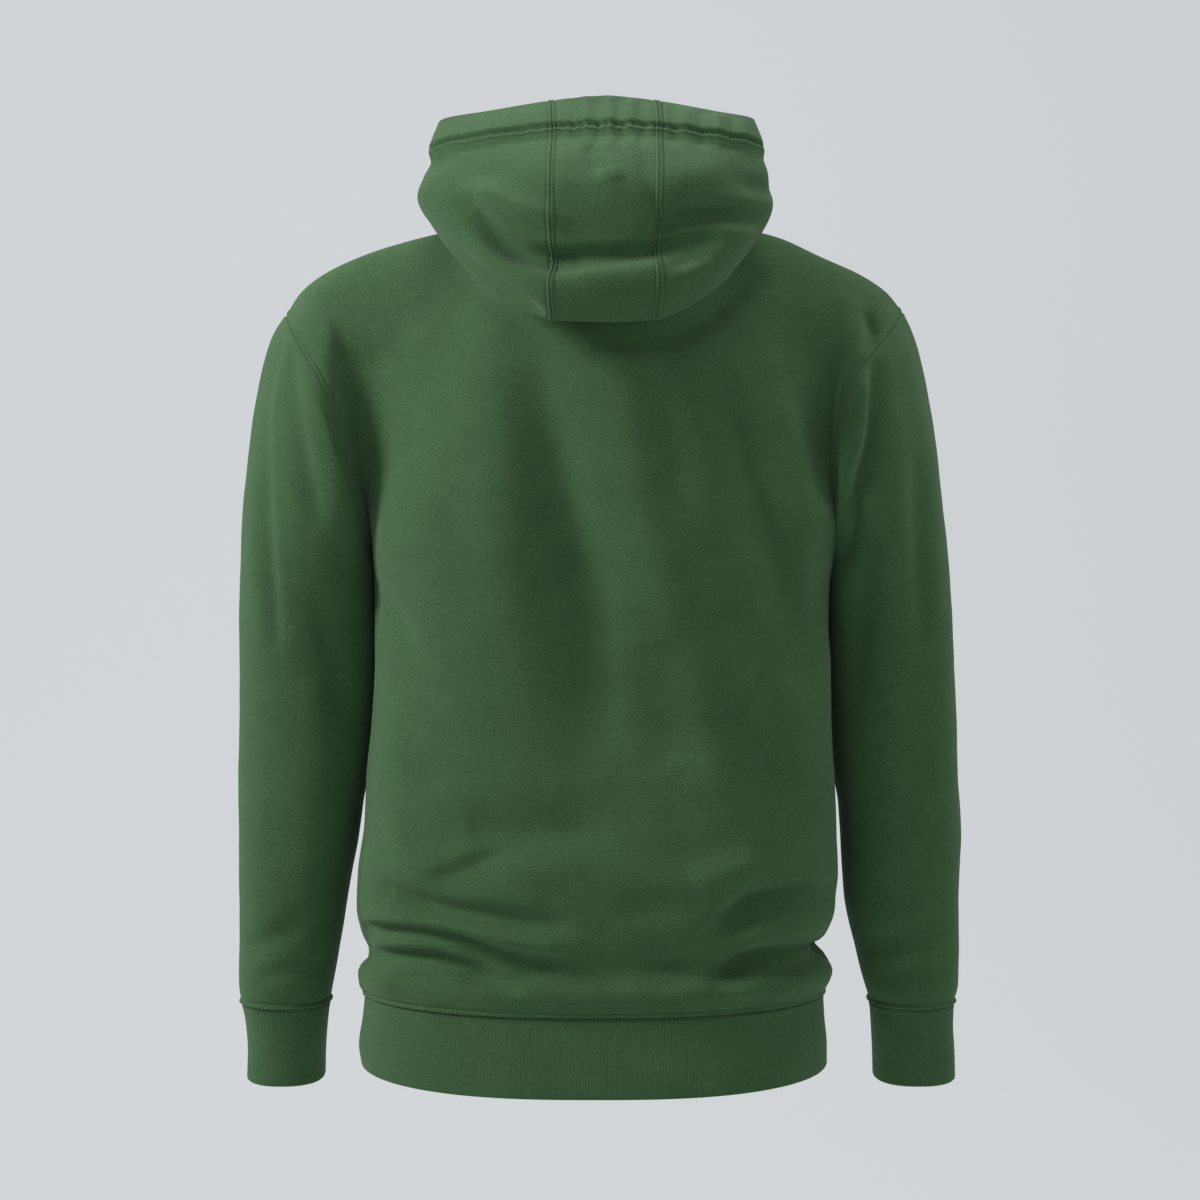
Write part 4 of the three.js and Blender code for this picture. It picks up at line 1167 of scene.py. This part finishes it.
step = 2.5  # the grid's spacing away from the seams
sideSeams = {"first": "band", "start": "armhole", "end": "armhole"}
addCloth("back", panelGrid("back", step * 1.25), sideSeams, fleeceMaterial,
         (0.51, 0.70), 0.32, ["first"])
addCloth("front", panelGrid("front", step * 1.6), sideSeams, fleeceMaterial,
         (0.55, 0.67), 0.32, ["first"])
for hand, turned in (("left", True), ("right", False)):
    addCloth("sleeve_" + hand, sleeveGrid(hand, step * 1.2), {"first": "neck", "last": "band"},
             fleeceMaterial, (0.36, 0.60), 0.17, ["last"], closed=True, turned=turned)
    addCloth("cuff_" + hand, cuffGrid(hand, step), {"first": "belowBand"}, ribMaterial,
             (0.22, 0.064), None, ["first"], closed=True, turned=turned, thickness=cloth["rib"],
             roundLast=True, waviness=0.35)
addCloth("hem_band", hemGrid(step * 1.25), {"first": "belowBand"}, ribMaterial,
         (1.00, 0.06), None, ["first"], closed=True, turned=True, thickness=cloth["rib"],
         roundLast=True, waviness=0.4)
print("made torso, sleeves, cuffs and hem band", flush=True)

# the hood's cloth thickens at its eighth level, the foot of the turned edge
hoodThickness = np.interp(hoodLevelList(), [7.9, 8.1], [cloth["fleece"], cloth["casing"]])
hoodLeft, hoodCentre, hoodRight = foldedHood(96, 40)
for name, grid, seams, flat, area in (
    ("hood_left", hoodLeft, {"first": "neck", "end": "panel"}, (0.34, 0.40), 0.058),
    ("hood_right", hoodRight, {"first": "neck", "start": "panel"}, (0.34, 0.40), 0.058),
    ("hood_centre", hoodCentre, {"first": "neck", "start": "panel", "end": "panel"}, (0.10, 0.40), None),
):
    rows = [edge for edge in seams if edge != "first"] + ["foot"]
    addCloth(name, grid, seams, fleeceMaterial, flat, area, rows,
             thickness=hoodThickness, roundLast=True)
print("made the hood", flush=True)

for name, rows in threads.items():
    thread = makeStitches(name + "_stitches", rows)
    thread.data.materials.append(threadMaterial)
    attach(thread, "root")
    "rib" if "cuff" in name or "hem" in name else "fleece"
print("sewed the seams", flush=True)


# Studio

studio = {
    "floorZ": -1.3,  # metres, here and in the lights and the camera
    "sweepY": -1.2,
    "sweepRadius": 1.8,
    "halfWidth": 12,
    "height": 6,
    "nearY": 10,
    "paper": (0.22, 0.23, 0.235),
    "paperGlow": (0.42, 0.435, 0.445),
    "worldLight": (0.9, 0.92, 0.94),
    "worldStrength": 0.09,
}

# name, power, size, place, and the point that it faces
lights = [
    ("key", 113, 0.9, (2.7, 0.85, 1.4), (0, 0, -0.3)),
    ("top", 50, 1.5, (-0.3, -0.3, 2.4), (0, 0, -0.2)),
    ("rim", 26, 1.2, (-2.7, 0.6, 1.4), (0, 0, -0.3)),
    ("fill", 8, 2.5, (0.5, 2.9, -0.7), (0, 0, -0.4)),
]


def makeBackdrop():
    # the paper comes down behind the garment, runs along the floor and goes up again behind the camera
    radius, floorZ = studio["sweepRadius"], studio["floorZ"]
    angles = [math.pi / 2 * step / 16 for step in range(17)]
    curve = [(radius * math.sin(angle), floorZ + radius * (1 - math.cos(angle))) for angle in angles]
    curve.append((radius, studio["height"]))
    profile = [(studio["nearY"] + out, z) for out, z in reversed(curve)]
    profile += [(studio["sweepY"] - out, z) for out, z in curve]
    points = [(x, y, z) for y, z in profile for x in (-studio["halfWidth"], studio["halfWidth"])]
    faces = [(2 * k, 2 * k + 1, 2 * k + 3, 2 * k + 2) for k in range(len(profile) - 1)]
    mesh = bpy.data.meshes.new("backdrop")
    mesh.from_pydata(points, [], faces)
    mesh.polygons.foreach_set("use_smooth", [True] * len(faces))
    backdrop = bpy.data.objects.new("backdrop", mesh)
    bpy.context.collection.objects.link(backdrop)
    mesh.materials.append(newMaterial("pale paper", {
        "Base Color": (*studio["paper"], 1),
        "Emission Color": (*studio["paperGlow"], 1),
        "Emission Strength": 1,
        "Roughness": 0.9,
        "Specular IOR Level": 0.1,
    })[0])


def addLight(name, power, size, location, target):
    light = bpy.data.lights.new(name, "AREA")
    light.energy = power
    light.size = size
    lamp = bpy.data.objects.new(name, light)
    lamp.location = location
    x, y, z = np.subtract(target, location)
    lamp.rotation_euler = (math.atan2(math.hypot(x, y), -z), 0, math.atan2(y, x) - math.pi / 2)
    bpy.context.collection.objects.link(lamp)


makeBackdrop()
for light in lights:
    addLight(*light)
world = bpy.data.worlds.new("studio")
world.use_nodes = True
setInputs(world.node_tree.nodes["Background"], {
    "Color": (*studio["worldLight"], 1),
    "Strength": studio["worldStrength"],
})
bpy.context.scene.world = world
bpy.context.scene.view_settings.view_transform = "Standard"

camera = bpy.data.objects.new("camera", bpy.data.cameras.new("camera"))
camera.data.sensor_width = 36
camera.data.lens = 72.3
camera.location = (-0.0033, 2.0, -0.299)
camera.rotation_euler = (math.pi / 2, 0, math.pi)
bpy.context.collection.objects.link(camera)
bpy.context.scene.camera = camera
print("set up the studio", flush=True)
